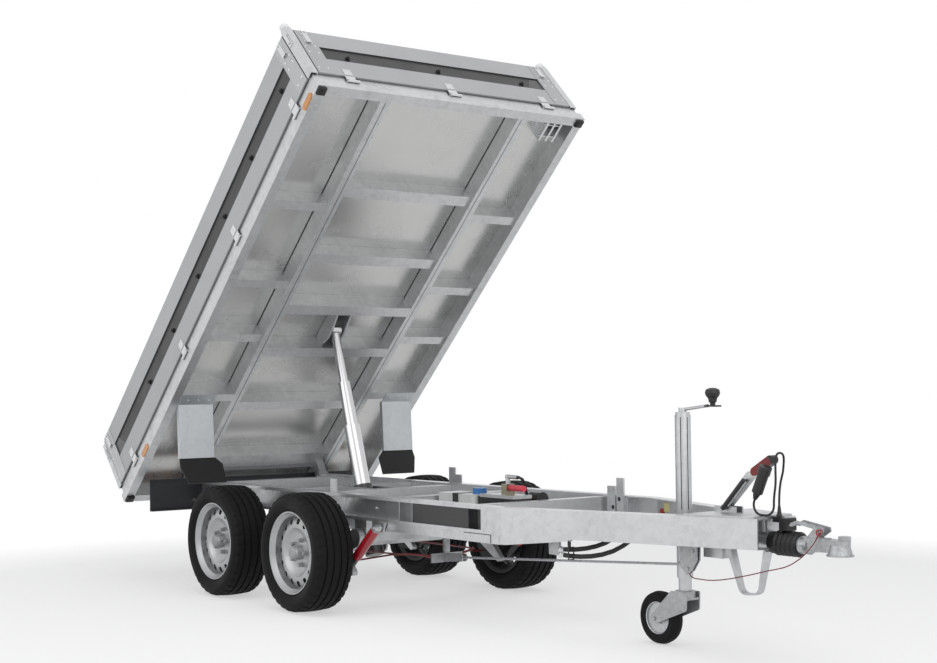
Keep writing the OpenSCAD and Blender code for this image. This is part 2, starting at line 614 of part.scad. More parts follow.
// Jockey wheel: clamp on the short crossmember, and the post that slides up through it
jockey_bottom = 262;
jockey_wall = 5;
clamp_z = [440, 496];
clamp_r = jockey_tube_d / 2 + 8;
module jockey_clamp() at_frame() color("silver") {
    difference() {
        union() {
            translate([jockey_x, 0, clamp_z[0]]) cylinder(h = clamp_z[1] - clamp_z[0], r = clamp_r);
            span([jockey_x + 20, jockey_cross_x - touch], [-32, 32], clamp_z);
        }
        translate([jockey_x, 0, clamp_z[0] - cut])
            cylinder(h = clamp_z[1] - clamp_z[0] + 2 * cut, d = jockey_tube_d + 2 * touch);
    }
    // Clamp screw and its toggle
    pin_y(jockey_x, 463, [-clamp_r - 40, -clamp_r + 4], 14);
    span([jockey_x - 6, jockey_x + 6], [-clamp_r - 46, -clamp_r - 38], [430, 496]);
}
module jockey_post() at_frame() color("silver") difference() {
    union() {
        translate([jockey_x, 0, jockey_bottom]) cylinder(h = jockey_top - jockey_bottom, d = jockey_tube_d);
        translate([jockey_x, 0, jockey_top - cut]) cylinder(h = 10 + cut, d = jockey_tube_d - 6);
        translate([jockey_x, 0, jockey_head]) cylinder(h = 60, d = jockey_leg_d);
    }
    translate([jockey_x, 0, jockey_head - cut])
        cylinder(h = jockey_top - jockey_head - 10, d = jockey_leg_d - 2 * jockey_wall);
}
crank_reach = 155;                        // from the post to the crank's knob
crank_z = jockey_top + 10;
module jockey_crank() at_frame() color("dimgray") {
    translate([jockey_x, 0, crank_z + touch]) cylinder(h = 16, d = 30);
    rod([jockey_x, 0, crank_z + 9], [jockey_x + crank_reach - 24, 0, crank_z + 24], 12);
    span([jockey_x + crank_reach - 30, jockey_x + crank_reach + 30], [-14, 14], [crank_z + 20,
        crank_z + 26]);
    translate([jockey_x + crank_reach, 0, crank_z + 25]) rotate_extrude()
        polygon([[0, 0], [10, 0], [10, 10], [14, 12], [17, 26], [25, 36], [28, 46], [25, 58], [12, 64],
            [0, 65]]);
}
jockey_head = 214;                        // top of the fork
jockey_leg_d = 49;
fork_in = 32;
fork_t = 5;
jockey_axle_z = jockey_wheel_d / 2;
module jockey_fork() at_frame() color("silver") {
    translate([jockey_x, 0, jockey_head - touch - 26]) cylinder(h = 26, d = 76);
    translate([0, 0, jockey_head - touch - 32]) linear_extrude(8)
        polygon([[jockey_x - 38, -fork_in - fork_t], [jockey_x + 38, -fork_in - fork_t],
                 [jockey_x + 38, fork_in + fork_t], [jockey_x - 38, fork_in + fork_t]]);
    for (y = [-fork_in - fork_t, fork_in]) along_y([y, y + fork_t]) hull() {
        translate([jockey_x - 40, jockey_head - touch - 30]) square([80, 28]);
        translate([jockey_x + 26, jockey_head - 62]) circle(r = 12);
        translate([jockey_x - jockey_trail, jockey_axle_z]) circle(r = 20);
    }
    pin_y(jockey_x - jockey_trail, jockey_axle_z, [-fork_in - fork_t - 6, fork_in + fork_t + 6], 16);
}
module jockey_wheel() at_frame() color("black")
    translate([jockey_x - jockey_trail, 0, jockey_axle_z]) rotate([90, 0, 0]) rotate_extrude($fn = 64)
        polygon([[8.3, -24], [24, -24], [24, -14], [56, -14], [58, -20], [64, -24], [84, -26], [96, -18],
            [100, 0],
                 [96, 18], [84, 26], [64, 24], [58, 20], [56, 14], [24, 14], [24, 24], [8.3, 24]]);

// Bed rim: folded channel right round under the drop sides, recessed over its foot
module bed_rim() on_bed() color("gainsboro") {
    difference() {
        union() {
            span([0, bed_l], [-half_w, half_w], [0, foot_h]);
            span([foot_step, bed_l - foot_step], [-half_w + foot_step, half_w - foot_step], [0, rim_h]);
        }
        span([rim_w, bed_l - rim_w], [-half_w + rim_w, half_w - rim_w], [-cut, rim_h + cut]);
    }
    both_sides() for (u = side_hinges) translate([u, half_w, 0]) hinge_ears();
    for (v = end_hinges) translate([bed_l, v, 0]) rotate([0, 0, -90]) hinge_ears();
}
// Hinge of a drop side: the pivot stands off the rim's outer face, so that the side can hang down
pivot_v = 5;
pivot_w = foot_h + 9;
knuckle_half = 24;
ear_t = 6;
side_pin_d = 8;
module hinge_ears() {
    for (s = [-knuckle_half - ear_t - touch, knuckle_half + touch])
        along_x([s, s + ear_t]) union() {
            translate([pivot_v, pivot_w]) circle(r = 7);
            translate([-foot_step, pivot_w - 6]) square([foot_step + pivot_v, 12]);
        }
    translate([-knuckle_half - ear_t - 2, pivot_v, pivot_w]) rotate([0, 90, 0])
        cylinder(h = 2 * knuckle_half + 2 * ear_t + 4, d = side_pin_d);
}

// Longitudinal channels and cross channels under the floor
beam_v = rail_out - 35;
beam_w = 50;
beam_h = rim_h - floor_t - touch;
eye_u = 1230;                             // the rod's eye, along the bed and up
eye_w = 33;
guard_top = [730, -touch];                // upper edge of the mudguards
// Columns: place along the bed, width, depth
mid_rows = [[bed_overhang + 42, 110, 70], [eye_u - 535, 60, 70], [eye_u - 130, 60, 84], [eye_u + 160, 60,
    84],
            [eye_u + 480, 60, 70], [bed_l - 565, 60, 70]];
outer_rows = [[guard_top[0] + 45, 50, beam_h], [1180, 50, 70], [1535, 50, 70], [bed_l - 665, 50, 70]];
module hat(w, h) difference() {
    square([w, h]);
    translate([4, 4]) square([w - 8, h - 4 + cut]);
}
beam_in = beam_v - beam_w / 2;
edge = rim_w + touch;
module bed_beams() on_bed() color("silver") both_sides() {
    difference() {
        span([edge, bed_l - edge], [beam_in, beam_in + beam_w], [0, beam_h]);
        span([edge + 4, bed_l - edge - 4], [beam_in + 4, beam_in + beam_w - 4], [4, beam_h + cut]);
    }
}
module bed_crossbeams() on_bed() color("silver") {
    for (r = mid_rows) translate([r[0] - r[1] / 2, 0, beam_h - r[2]])
        along_y([touch - beam_in, beam_in - touch]) hat(r[1], r[2]);
    both_sides() bed_knuckle();
}
module bed_outriggers() on_bed() color("silver") both_sides()
    for (r = outer_rows) translate([r[0] - r[1] / 2, 0, beam_h - r[2]])
        along_y([beam_in + beam_w + touch, half_w - edge]) hat(r[1], r[2]);
// Knuckle that turns on the rail's hinge pin
knuckle_d = 48;
module bed_knuckle() {
    u = bed_overhang;
    difference() {
        along_y([knuckle_y, knuckle_y + knuckle_w]) hull() {
            translate([u, -bed_rise]) circle(d = knuckle_d);
            translate([u + 2, 0]) square([40, 22]);
        }
        pin_y(u, -bed_rise, [knuckle_y - cut, knuckle_y + knuckle_w + cut], hinge_pin_d + 2 * touch);
    }
}
module bed_floor() on_bed() color("lightgray")
    span([rim_w + touch, bed_l - rim_w - touch], [-half_w + rim_w + touch, half_w - rim_w - touch],
         [rim_h - floor_t, rim_h]);

// Bracket between two cross channels for the rod's eye
eye_pin_d = 18;
cheek_in = 34;
cheek_t = 10;
module lift_bracket() on_bed() color("silver") {
    back = mid_rows[2][0] + mid_rows[2][1] / 2 + touch;
    front = mid_rows[3][0] - mid_rows[3][1] / 2 - touch;
    for (v = [-cheek_in - cheek_t, cheek_in]) along_y([v, v + cheek_t]) hull() {
        translate([back, 20]) square([front - back, beam_h - 22]);
        translate([eye_u - 30, 0]) square([60, 10]);
    }
    pin_y(eye_u, eye_w, [-cheek_in - cheek_t - 6, cheek_in + cheek_t + 6], eye_pin_d);
}

// Corner posts between the drop sides, each with a latch block on its top
post_w = 36;
post_wall = 4;
rear_post_top = bed_h - 24;
front_post_top = bed_h + 8;
module corner_posts() on_bed() color("gainsboro") both_sides() {
    corner_post(rear_post_top);
    translate([post_w / 2, half_w - post_w / 2, rear_post_top]) cylinder(h = bed_h - rear_post_top, d = 22);
    translate([bed_l, 0, 0]) mirror([1, 0, 0]) {
        corner_post(front_post_top);
        // Rounded cap
        translate([post_w / 2, half_w - post_w / 2, front_post_top - 0.5]) rotate_extrude()
            polygon([[0, 0], [17, 0], [22, 5], [22, 24], [17, 33], [8, 37], [0, 38]]);
    }
}
module corner_post(top) {
    z = [rim_h + touch, top];
    difference() {
        span([0, post_w], [half_w - post_w, half_w], z);
        span([post_wall, post_w - post_wall], [half_w - post_w + post_wall, half_w - post_wall],
             [z[0] - cut, z[1] - post_wall]);
    }
}

// Mudguard plates over the rear tyres, and their rubber flaps
guard_v = [half_w - 235, half_w - 47];
guard_low = [560, -204];
guard_t = 3;
module mudguards() on_bed() color("silver") both_sides() {
    along_y(guard_v) plate_line(guard_top, guard_low, guard_t);
    for (v = [guard_v[0], guard_v[1] - guard_t]) along_y([v, v + guard_t])
        plate_flange(guard_top, guard_low, 18);
    translate([guard_top[0], 0, guard_top[1] - guard_t]) along_y(guard_v) square([70, guard_t]);
}
module plate_line(a, b, t) {
    n = [-(b - a)[1], (b - a)[0]] / norm(b - a) * t;
    polygon([a, b, b + n, a + n]);
}
module plate_flange(a, b, t) plate_line(a, b, -t);
flap_flare = 40;
flap_h = 132;
flap_lean = 20;
module mud_flaps() on_bed() color("black") both_sides()
    translate([guard_low[0] - touch, 0, guard_low[1]]) rotate([0, flap_lean, 0])
        along_x([-6, 0]) polygon([[guard_v[0] - 6, 0], [guard_v[0] - flap_flare, -36],
            [guard_v[0] - flap_flare, -flap_h],
            [guard_v[1] - 24, -flap_h], [guard_v[1] + 4, -44], [guard_v[1], 0]]);

module reflectors() on_bed() color("orange") both_sides() for (u = [373, bed_l - 106])
    translate([u, half_w + touch, foot_h / 2]) rotate([-90, 0, 0]) hull()
        for (s = [-1, 1]) translate([s * 28, 0, 0]) cylinder(h = 3, d = 32, $fn = 24);

// Drop sides: hollow profile with a recessed band, hooks and hinge leaves
band = [114, 198];                        // recessed band, up from the panel's lower edge
band_depth = 6;
hook_rows = [0.24, 0.375, 0.51, 0.65, 0.78, 0.92];
side_gap = run + 0.2;
module panel_profile(inner) difference() {
    polygon([[0, 0], [-side_t, 0], [-side_t, side_h], [-8, side_h], [0, side_h - 10]]);
    translate([-band_depth, band[0]]) polygon([[0, 0], [band_depth + cut, -cut], [band_depth + cut,
        band[1] - band[0] + cut],
        [0, band[1] - band[0]]]);
}
// Panel drawn with its outer face on v = 0 and its lower edge on w = 0, along x
module panel(len, hinges, hooks) {
    along_x([0, len]) panel_profile();
    for (h = hooks) translate([h, -band_depth - 1, band[0] + 30]) rotate([-90, 0, 0]) cylinder(h = 8,
        d = 24, $fn = 24);
    for (h = hinges) translate([h, 0, 0]) panel_hinge();
    // Riveted end caps
    for (x = [0, len - cap_l]) span([x, x + cap_l], [-band_depth - 1, 1.5], [touch, side_h - 12]);
}
cap_l = 84;
module panel_hinge() {
    drop = pivot_w - side_z;
    difference() {
        union() {
            span([-knuckle_half, knuckle_half], [-5, 0], [drop, 4]);
            translate([-knuckle_half, pivot_v, drop]) rotate([0, 90, 0]) cylinder(h = 2 * knuckle_half,
                r = 7);
            span([-knuckle_half, knuckle_half], [-5, pivot_v], [drop - 4, drop + 4]);
        }
        translate([-knuckle_half - cut, pivot_v, drop]) rotate([0, 90, 0])
            cylinder(h = 2 * knuckle_half + 2 * cut, d = side_pin_d + 0.2);
    }
}
side_z = rim_h + side_gap;
side_start = post_w + run;
side_len = bed_l - 2 * side_start;
side_hinges = [0.0924 * bed_l, 0.3818 * bed_l, 0.6566 * bed_l, 0.9277 * bed_l];
side_hooks = [for (f = hook_rows) f * bed_l];
module side_panel() translate([side_start, half_w, side_z])
    panel(side_len, [for (u = side_hinges) u - side_start], [for (u = side_hooks) u - side_start]);
module side_left() on_bed() color("lightgray") side_panel();
module side_right() on_bed() color("lightgray") mirror([0, 1, 0]) side_panel();

end_half = half_w - post_w - run;
end_hinges = [-0.78 * end_half, 0, 0.78 * end_half];
end_hooks = [-0.7 * end_half, 0, 0.7 * end_half];
module front_panel() on_bed() color("lightgray")
    translate([bed_l, end_half, side_z]) rotate([0, 0, -90])
        panel(2 * end_half, [for (v = end_hinges) v + end_half], [for (v = end_hooks) v + end_half]);
// Tailgate hangs from pins at its top corners
tailgate_pin = [post_w / 2, bed_h - 10];
module tailgate() on_bed() color("lightgray") {
    translate([0, -end_half, side_z]) rotate([0, 0, 90]) panel(2 * end_half, [],
        [for (v = end_hooks) v + end_half]);
    both_sides() translate([tailgate_pin[0], end_half - 1, tailgate_pin[1]]) rotate([-90, 0, 0])
        cylinder(h = run + 1 + post_w / 2 - 11 - touch, d = 12);
}

// Telescopic cylinder, leaning with the bed
eye_rest = let (u = eye_u - bed_overhang, w = eye_w + bed_rise)
    [hinge_x + u * cos(tip) - w * sin(tip), hinge_z + u * sin(tip) + w * cos(tip)];
lift_v = eye_rest - [lift_x, cylinder_z];
lift_len = norm(lift_v);
lean = atan2(-lift_v[0], lift_v[1]);
module on_lift() at_frame() translate([lift_x, 0, cylinder_z]) rotate([0, -lean, 0]) children();
stage_d = [barrel_d, barrel_d - 2 * (stage_wall + stage_gap), barrel_d - 4 * (stage_wall + stage_gap),
           barrel_d - 6 * (stage_wall + stage_gap)];
barrel_end = [-30, 308];
stage_start = [0, -15, -4, 6];            // lower end of each stage when closed
stage_end = [308, 321, 330, 346];         // upper end of each stage when closed
eye_flat = [hinge_x + eye_u - bed_overhang, hinge_z + bed_rise + eye_w];
stroke = lift_len - norm(eye_flat - [lift_x, cylinder_z]);
stage_out = [0, 0.403 * stroke, 0.7 * stroke, stroke]; // how far each has come out at rest
module tube_z(z, outer, bore) difference() {
    translate([0, 0, z[0]]) cylinder(h = z[1] - z[0], d = outer);
    translate([0, 0, z[0] - cut]) cylinder(h = z[1] - z[0] + 2 * cut, d = bore);
}
module cylinder_barrel() on_lift() color("dimgray") {
    tube_z(barrel_end, barrel_d, stage_d[1] + 2 * stage_gap);
    translate([0, 0, barrel_end[0] - 8]) cylinder(h = 8, d = barrel_d);
    both_sides() translate([0, barrel_d / 2 - 4, 0]) rotate([-90, 0, 0])
        cylinder(h = cradle_in - barrel_d / 2 + cradle_t + 8, d = trunnion_d);
}
module cylinder_stage(i) on_lift()
    tube_z([stage_start[i] + stage_out[i], stage_end[i] + stage_out[i]], stage_d[i],
        stage_d[i + 1] + 2 * stage_gap);
module cylinder_stage_1() color("gray") cylinder_stage(1);
module cylinder_stage_2() color("silver") cylinder_stage(2);
eye_d = 60;
eye_bore = eye_pin_d + 24;                // room for the drift of the opened linkage
module cylinder_rod() on_lift() color("silver") difference() {
    union() {
        translate([0, 0, stage_start[3] + stage_out[3]])
            cylinder(h = lift_len - stage_out[3] - stage_start[3] - eye_bore / 2 - 4, d = stage_d[3]);
        translate([0, -25, lift_len]) rotate([-90, 0, 0]) cylinder(h = 50, d = eye_d);
    }
    translate([0, -25 - cut, lift_len]) rotate([-90, 0, 0]) cylinder(h = 50 + 2 * cut, d = eye_bore);
}

// Tyres and pressed steel wheels
module at_wheel(x, side) at_frame() translate([x * axle_gap / 2, side * tyre_y, hub_z])
    rotate([side * -90, 0, 0]) children();
rim_r = rim_d / 2;
tyre_r = tyre_d / 2;
module tyre(x, side) at_wheel(x, side) color("black") rotate_extrude($fn = 96) {
    h = tyre_w / 2;
    polygon([[rim_r - 14, -h + 32], [rim_r + 4, -h + 16], [rim_r + 24, -h + 3], [rim_r + 42, -h],
        [tyre_r - 22, -h + 6],
             [tyre_r - 6, -h + 16], [tyre_r - 1, -h + 26], [tyre_r, 0], [tyre_r - 1, h - 26],
                 [tyre_r - 6, h - 16],
             [tyre_r - 22, h - 6], [rim_r + 42, h], [rim_r + 24, h - 3], [rim_r + 4, h - 16],
                 [rim_r - 14, h - 32]]);
}
vents = 15;
vent_r = 137;
vent_d = 27;
module rim(x, side) at_wheel(x, side) color("silver") {
    h = tyre_w / 2 - 14;
    difference() {
        rotate_extrude($fn = 96) union() {
            // Barrel with its flanges
            polygon([[rim_r, h], [rim_r, h - 5], [rim_r - 15, h - 16], [rim_r - 18, -h + 14],
                [rim_r - 15, -h + 8],
                     [rim_r - 1, -h], [rim_r - 8, -h], [rim_r - 22, -h + 8], [rim_r - 25, h - 18],
                         [rim_r - 7, h]]);
            // Disc, dished outwards with a flat seat for the bolts
            polygon([[rim_r - 24, 26], [rim_r - 24, 36], [132, 50], [112, 52], [96, 34], [33, 30], [33,
                25], [98, 28],
                     [114, 46], [130, 44]]);
        }
        for (k = [0:vents - 1]) rotate(k * 360 / vents) translate([vent_r, 0, 0]) cylinder(h = 90,
            d = vent_d);
    }
    // Hub, drum and grease cap
    translate([0, 0, -tyre_y + hub_face]) difference() {
        cylinder(h = tyre_y - hub_face + 27, d = 200);
        translate([0, 0, -cut]) cylinder(h = 46 + cut, d = stub_d + 0.2);
    }
    translate([0, 0, 24]) cylinder(h = 32, d = 65.6);
    translate([0, 0, 56]) cylinder(h = 14, d1 = 64, d2 = 56, $fn = 32);
    for (k = [0:4]) rotate(k * 72) translate([56, 0, 28]) cylinder(h = 16, d = 19);
}
module tyre_front_left() tyre(1, 1);
module tyre_front_right() tyre(1, -1);
module tyre_rear_left() tyre(-1, 1);
module tyre_rear_right() tyre(-1, -1);
module rim_front_left() rim(1, 1);
module rim_front_right() rim(1, -1);
module rim_rear_left() rim(-1, 1);
module rim_rear_right() rim(-1, -1);

// Electric lead: out of the plate, up behind the grip, over its end and down in a loop to its plug
lead_d = 8;
lead_y = -51;
plug_at = [2519, 576];                    // lower end of the plug, in X and Z
plug_lean = 25;
loop_r = 34;
loop_stop = plug_at - 6 * [sin(plug_lean), cos(plug_lean)];
loop_c = loop_stop + loop_r * [cos(plug_lean), -sin(plug_lean)];
loop_end = [2570, loop_c[1] + 2];         // middle of the loop's front bend
lead_route = concat(
    [[2576, 10, rail_top + 2 + touch]],
    bez([2576, 10, 524], [2576, 10, 570], [2552, 36, 610], [2570, 36, 660], 8),
    bez([2573, 36, 670], [2580, 36, 715], [2592, 26, 738], [2596, -8, 738], 7),
    bez([2598, -16, 737], [2608, -44, 732], [2616, lead_y, 700], [2616, lead_y, 660], 7),
    bez([2616, lead_y, 648], [2616, lead_y, 620], [2607, lead_y, 600], [loop_end[0] + loop_r + 2, lead_y,
        loop_end[1] + 8], 3),
    [for (a = [0:-18:-90]) [loop_end[0] + (loop_r + 2) * cos(a), lead_y,
        loop_end[1] + (loop_r + 2) * sin(a)]],
    [for (k = [0:7]) let (a = -90 - k / 7 * (90 + plug_lean))
        [loop_c[0] + loop_r * cos(a), lead_y, loop_c[1] + loop_r * sin(a)]],
    [[plug_at[0], lead_y, plug_at[1]]]);
module lead() at_frame() color("black") swept(lead_route, lead_d, 8);
module lead_plug() at_frame() color("black") translate([plug_at[0], lead_y, plug_at[1]]) rotate([0,
    plug_lean, 0])
    translate([0, 0, touch]) {
        cylinder(h = 26, d1 = 14, d2 = 30, $fn = 24);
        translate([0, 0, 26]) cylinder(h = 72, d = 40);
        translate([0, 0, 98]) cylinder(h = 28, d = 46);
    }

// Breakaway cable from the brake lever to the coupling's handle
breakaway_d = 4;
breakaway_route = [[2196, -54, 298.6], [2196, -54, 291], [2199, -54, 283], [2208, -54, 276], [2225, -54,
    272.5],
                   [2246, -54, 272], [2291, -54, 272], [2340, -54, 277], [2392, -54, 286], [2446, -54, 298],
                   [2512, -54, 314], [2577, -54, 331], [2620, -53, 341], [2660, -51, 353], [2700, -48, 374],
                   [2732, -44, 398], [2757, -40, 424], [2773, -34, 448], [2780, -29, 466],
                   [2782, -22 - breakaway_d / 2 - touch, 474]];
module breakaway_cable() at_frame() color("firebrick") swept(breakaway_route, breakaway_d, 8);

rail_left();
rail_right();
under_beams();
drawbar_left();
drawbar_right();
crossmembers();
cylinder_cradle();
axle_front();
axle_rear();
dampers();
brake_linkage();
lamp_board();
rear_lamps();
pump_unit();
pump_tank();
hoses();
overrun_housing();
overrun_boot();
coupling_head();
coupling_handle();
handbrake_lever();
handbrake_grip();
handbrake_strut();
rest_bow();
jockey_clamp();
jockey_post();
jockey_crank();
bed_rim();
bed_beams();
bed_crossbeams();
bed_outriggers();
bed_floor();
lift_bracket();
corner_posts();
mudguards();
mud_flaps();
reflectors();
side_left();
side_right();
front_panel();
tailgate();
cylinder_barrel();
cylinder_stage_1();
cylinder_stage_2();
cylinder_rod();
jockey_fork();
jockey_wheel();
tyre_front_left();
tyre_front_right();
tyre_rear_left();
tyre_rear_right();
rim_front_left();
rim_front_right();
rim_rear_left();
rim_rear_right();
lead();
lead_plug();
breakaway_cable();
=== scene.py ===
"""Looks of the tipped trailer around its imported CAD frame. Lengths are in metres, angles in degrees."""
import json
import math

import bmesh
import bpy
from mathutils import Matrix, Vector
from mathutils.bvhtree import BVHTree


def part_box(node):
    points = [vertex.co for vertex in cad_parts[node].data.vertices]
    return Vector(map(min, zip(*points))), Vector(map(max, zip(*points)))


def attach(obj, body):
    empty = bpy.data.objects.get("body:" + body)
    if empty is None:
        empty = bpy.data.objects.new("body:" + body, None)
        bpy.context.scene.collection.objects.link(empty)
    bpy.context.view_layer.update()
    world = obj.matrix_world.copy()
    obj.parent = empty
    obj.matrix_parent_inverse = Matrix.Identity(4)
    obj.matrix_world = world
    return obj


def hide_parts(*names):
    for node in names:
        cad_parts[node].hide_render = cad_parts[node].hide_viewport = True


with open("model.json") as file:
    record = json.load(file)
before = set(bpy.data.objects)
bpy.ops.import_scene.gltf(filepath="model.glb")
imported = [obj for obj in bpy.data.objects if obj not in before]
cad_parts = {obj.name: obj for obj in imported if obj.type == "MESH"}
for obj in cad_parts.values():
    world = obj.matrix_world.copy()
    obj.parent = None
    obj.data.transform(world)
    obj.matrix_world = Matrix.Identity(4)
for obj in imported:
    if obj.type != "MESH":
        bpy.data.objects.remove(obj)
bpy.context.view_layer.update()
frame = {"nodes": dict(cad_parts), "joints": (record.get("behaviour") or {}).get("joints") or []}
nodes = frame["nodes"]
joints = {j["name"]: j for j in frame["joints"]}

# Places taken from the frame
TIP = 43.5
HINGE = Vector(joints["bed_tip"]["pos_m"])
OVERHANG = 0.213
BED_RISE = 0.073
CHASSIS = Matrix.Translation((HINGE.x + 0.988, 0, 0))
BED = (Matrix.Translation(HINGE) @ Matrix.Rotation(math.radians(-TIP), 4, "Y")
       @ Matrix.Translation((-OVERHANG, 0, BED_RISE)))

# Driving sizes of the bed, as the CAD part has them
BED_L = 2.685
HALF_W = 0.743
RIM_H = 0.090
FOOT_H = 0.044
SIDE_Z = 0.0952
SIDE_H = 0.318
SIDE_T = 0.026
POST_W = 0.036
SIDE_START = 0.041
END_HALF = HALF_W - SIDE_START
TYRE_R = 0.2625
TYRE_W = 0.195
TRACK = 1.168
AXLE_GAP = 0.723
RIM_R = 0.1825
RAIL_TOP = 0.512
COUPLING_Z = 0.425
JOCKEY_X = 2.120


# Camera at the photograph's viewpoint
PHOTO_W, PHOTO_H = 937, 663
FOCAL_PX = 1520.97
CAMERA_AT = CHASSIS @ Vector((6.1883, -4.0740, 0.9713))
CAMERA_AZ, CAMERA_EL, CAMERA_ROLL = 52.929, -2.178, -0.611


def make_camera():
    az, el, roll = (math.radians(a) for a in (CAMERA_AZ, CAMERA_EL, CAMERA_ROLL))
    back = Vector((math.sin(az) * math.cos(el), -math.cos(az) * math.cos(el), math.sin(el)))
    right = Vector((math.cos(az), math.sin(az), 0))
    up = back.cross(right)
    turned_right = right * math.cos(roll) + up * math.sin(roll)
    turned_up = up * math.cos(roll) - right * math.sin(roll)
    data = bpy.data.cameras.new("camera")
    data.sensor_fit = "HORIZONTAL"
    data.sensor_width = 36
    data.lens = FOCAL_PX / PHOTO_W * data.sensor_width
    data.clip_end = 200
    camera = bpy.data.objects.new("camera", data)
    turn = Matrix((turned_right, turned_up, back)).transposed().to_4x4()
    camera.matrix_world = Matrix.Translation(CAMERA_AT) @ turn
    bpy.context.scene.collection.objects.link(camera)
    bpy.context.scene.camera = camera


make_camera()


# Shader building blocks
def new_material(name, color, metallic, roughness, **sockets):
    """Principled material, with its output and node tree, returned with its shader; extra sockets are named with
    underscores.
    """
    mat = bpy.data.materials.new(name)
    mat.use_nodes = True
    tree = mat.node_tree
    shader = tree.nodes["Principled BSDF"]
    shader.inputs["Base Color"].default_value = (*color, 1)
    shader.inputs["Metallic"].default_value = metallic
    shader.inputs["Roughness"].default_value = roughness
    for socket, value in sockets.items():
        shader.inputs[socket.replace("_", " ")].default_value = value
    mat.diffuse_color = (*color, 1)
    return mat, tree, shader


def link(tree, a, b):
    tree.links.new(a, b)


def scaled_coords(tree, scale):
    """Object coordinates stretched by a factor along each axis."""
    coords = tree.nodes.new("ShaderNodeTexCoord")
    mapping = tree.nodes.new("ShaderNodeMapping")
    mapping.inputs["Scale"].default_value = scale
    link(tree, coords.outputs["Object"], mapping.inputs["Vector"])
    return mapping.outputs["Vector"]


def noise(tree, vector, scale, detail=3, rough=0.55):
    node = tree.nodes.new("ShaderNodeTexNoise")
    node.inputs["Scale"].default_value = scale
    node.inputs["Detail"].default_value = detail
    node.inputs["Roughness"].default_value = rough
    link(tree, vector, node.inputs["Vector"])
    return node.outputs["Fac"]


def cells(tree, vector, scale):
    node = tree.nodes.new("ShaderNodeTexVoronoi")
    node.inputs["Scale"].default_value = scale
    link(tree, vector, node.inputs["Vector"])
    grey = tree.nodes.new("ShaderNodeRGBToBW")
    link(tree, node.outputs["Color"], grey.inputs["Color"])
    return grey.outputs["Val"]


def remap(tree, value, low, high, start=0.0, end=1.0):
    node = tree.nodes.new("ShaderNodeMapRange")
    node.inputs["From Min"].default_value = start
    node.inputs["From Max"].default_value = end
    node.inputs["To Min"].default_value = low
    node.inputs["To Max"].default_value = high
    link(tree, value, node.inputs["Value"])
    return node.outputs["Result"]


def math_node(tree, operation, a, b):
    node = tree.nodes.new("ShaderNodeMath")
    node.operation = operation
    for socket, value in zip(node.inputs, (a, b)):
        if isinstance(value, (int, float)):
            socket.default_value = value
        else:
            link(tree, value, socket)
    return node.outputs["Value"]


def ramp(tree, value, stops):
    """Colour ramp from pairs of place and colour."""
    node = tree.nodes.new("ShaderNodeValToRGB")
    line = node.color_ramp
    while len(line.elements) < len(stops):
        line.elements.new(0.5)
    for element, (place, color) in zip(line.elements, stops):
        element.position = place
        element.color = (*color, 1)
    link(tree, value, node.inputs["Fac"])
    return node.outputs["Color"]


def bump(tree, shader, height, distance, strength=1.0):
    node = tree.nodes.new("ShaderNodeBump")
    node.inputs["Distance"].default_value = distance
    node.inputs["Strength"].default_value = strength
    link(tree, height, node.inputs["Height"])
    link(tree, node.outputs["Normal"], shader.inputs["Normal"])


def shade(color, factor):
    return tuple(min(1.0, c * factor) for c in color)


def galvanised(name, color, metallic=0.85, rough=(0.30, 0.48), spangle=55, contrast=0.10, stretch=(1, 1, 1),
               wave=0.0006):
    """Zinc coat: crystals of slightly different grey over broad cloudy patches."""
    mat, tree, shader = new_material(name, color, metallic, rough[0])
    vector = scaled_coords(tree, stretch)
    patches = noise(tree, vector, 4.5, 4)
    crystals = cells(tree, vector, spangle)
    streaks = noise(tree, vector, 26, 4)
    mixed = math_node(tree, "ADD", math_node(tree, "MULTIPLY", patches, 0.5),
                      math_node(tree, "ADD", math_node(tree, "MULTIPLY", crystals, 0.22),
                                math_node(tree, "MULTIPLY", streaks, 0.28)))
    link(tree, ramp(tree, mixed, [(0.28, shade(color, 1 - 1.6 * contrast)), (0.50, color),
                                  (0.72, shade(color, 1 + contrast))]), shader.inputs["Base Color"])
    link(tree, remap(tree, mixed, rough[1], rough[0], 0.3, 0.7), shader.inputs["Roughness"])
    bump(tree, shader, math_node(tree, "ADD", math_node(tree, "MULTIPLY", patches, 0.8), streaks), wave, 0.5)
    return mat


def painted(name, color, rough=(0.32, 0.45), metallic=0.0, coat=0.0, grain=120, depth=0.0002):
    """Paint or smooth plastic with a fine orange peel and a little unevenness."""
    mat, tree, shader = new_material(name, color, metallic, rough[0], Coat_Weight=coat)
    vector = scaled_coords(tree, (1, 1, 1))
    broad = noise(tree, vector, 9, 3)
    fine = noise(tree, vector, grain, 2)
    link(tree, ramp(tree, broad, [(0.3, shade(color, 0.88)), (0.7, shade(color, 1.08))]), shader.inputs["Base Color"])
    link(tree, remap(tree, broad, rough[0], rough[1], 0.3, 0.7), shader.inputs["Roughness"])
    bump(tree, shader, fine, depth, 0.5)
    return mat


def brushed(name, color, stretch, rough=(0.25, 0.38), metallic=0.9, contrast=0.06):
    """Drawn metal with fine lines along one direction."""
    mat, tree, shader = new_material(name, color, metallic, rough[0])
    lines = noise(tree, scaled_coords(tree, stretch), 60, 4, 0.7)
    patches = noise(tree, scaled_coords(tree, (1, 1, 1)), 3.5, 3)
    mixed = math_node(tree, "ADD", math_node(tree, "MULTIPLY", lines, 0.5), math_node(tree, "MULTIPLY", patches, 0.5))
    link(tree, ramp(tree, mixed, [(0.3, shade(color, 1 - contrast)), (0.7, shade(color, 1 + contrast))]),
         shader.inputs["Base Color"])
    link(tree, remap(tree, mixed, rough[1], rough[0], 0.3, 0.7), shader.inputs["Roughness"])
    bump(tree, shader, lines, 0.0001, 0.4)
    return mat


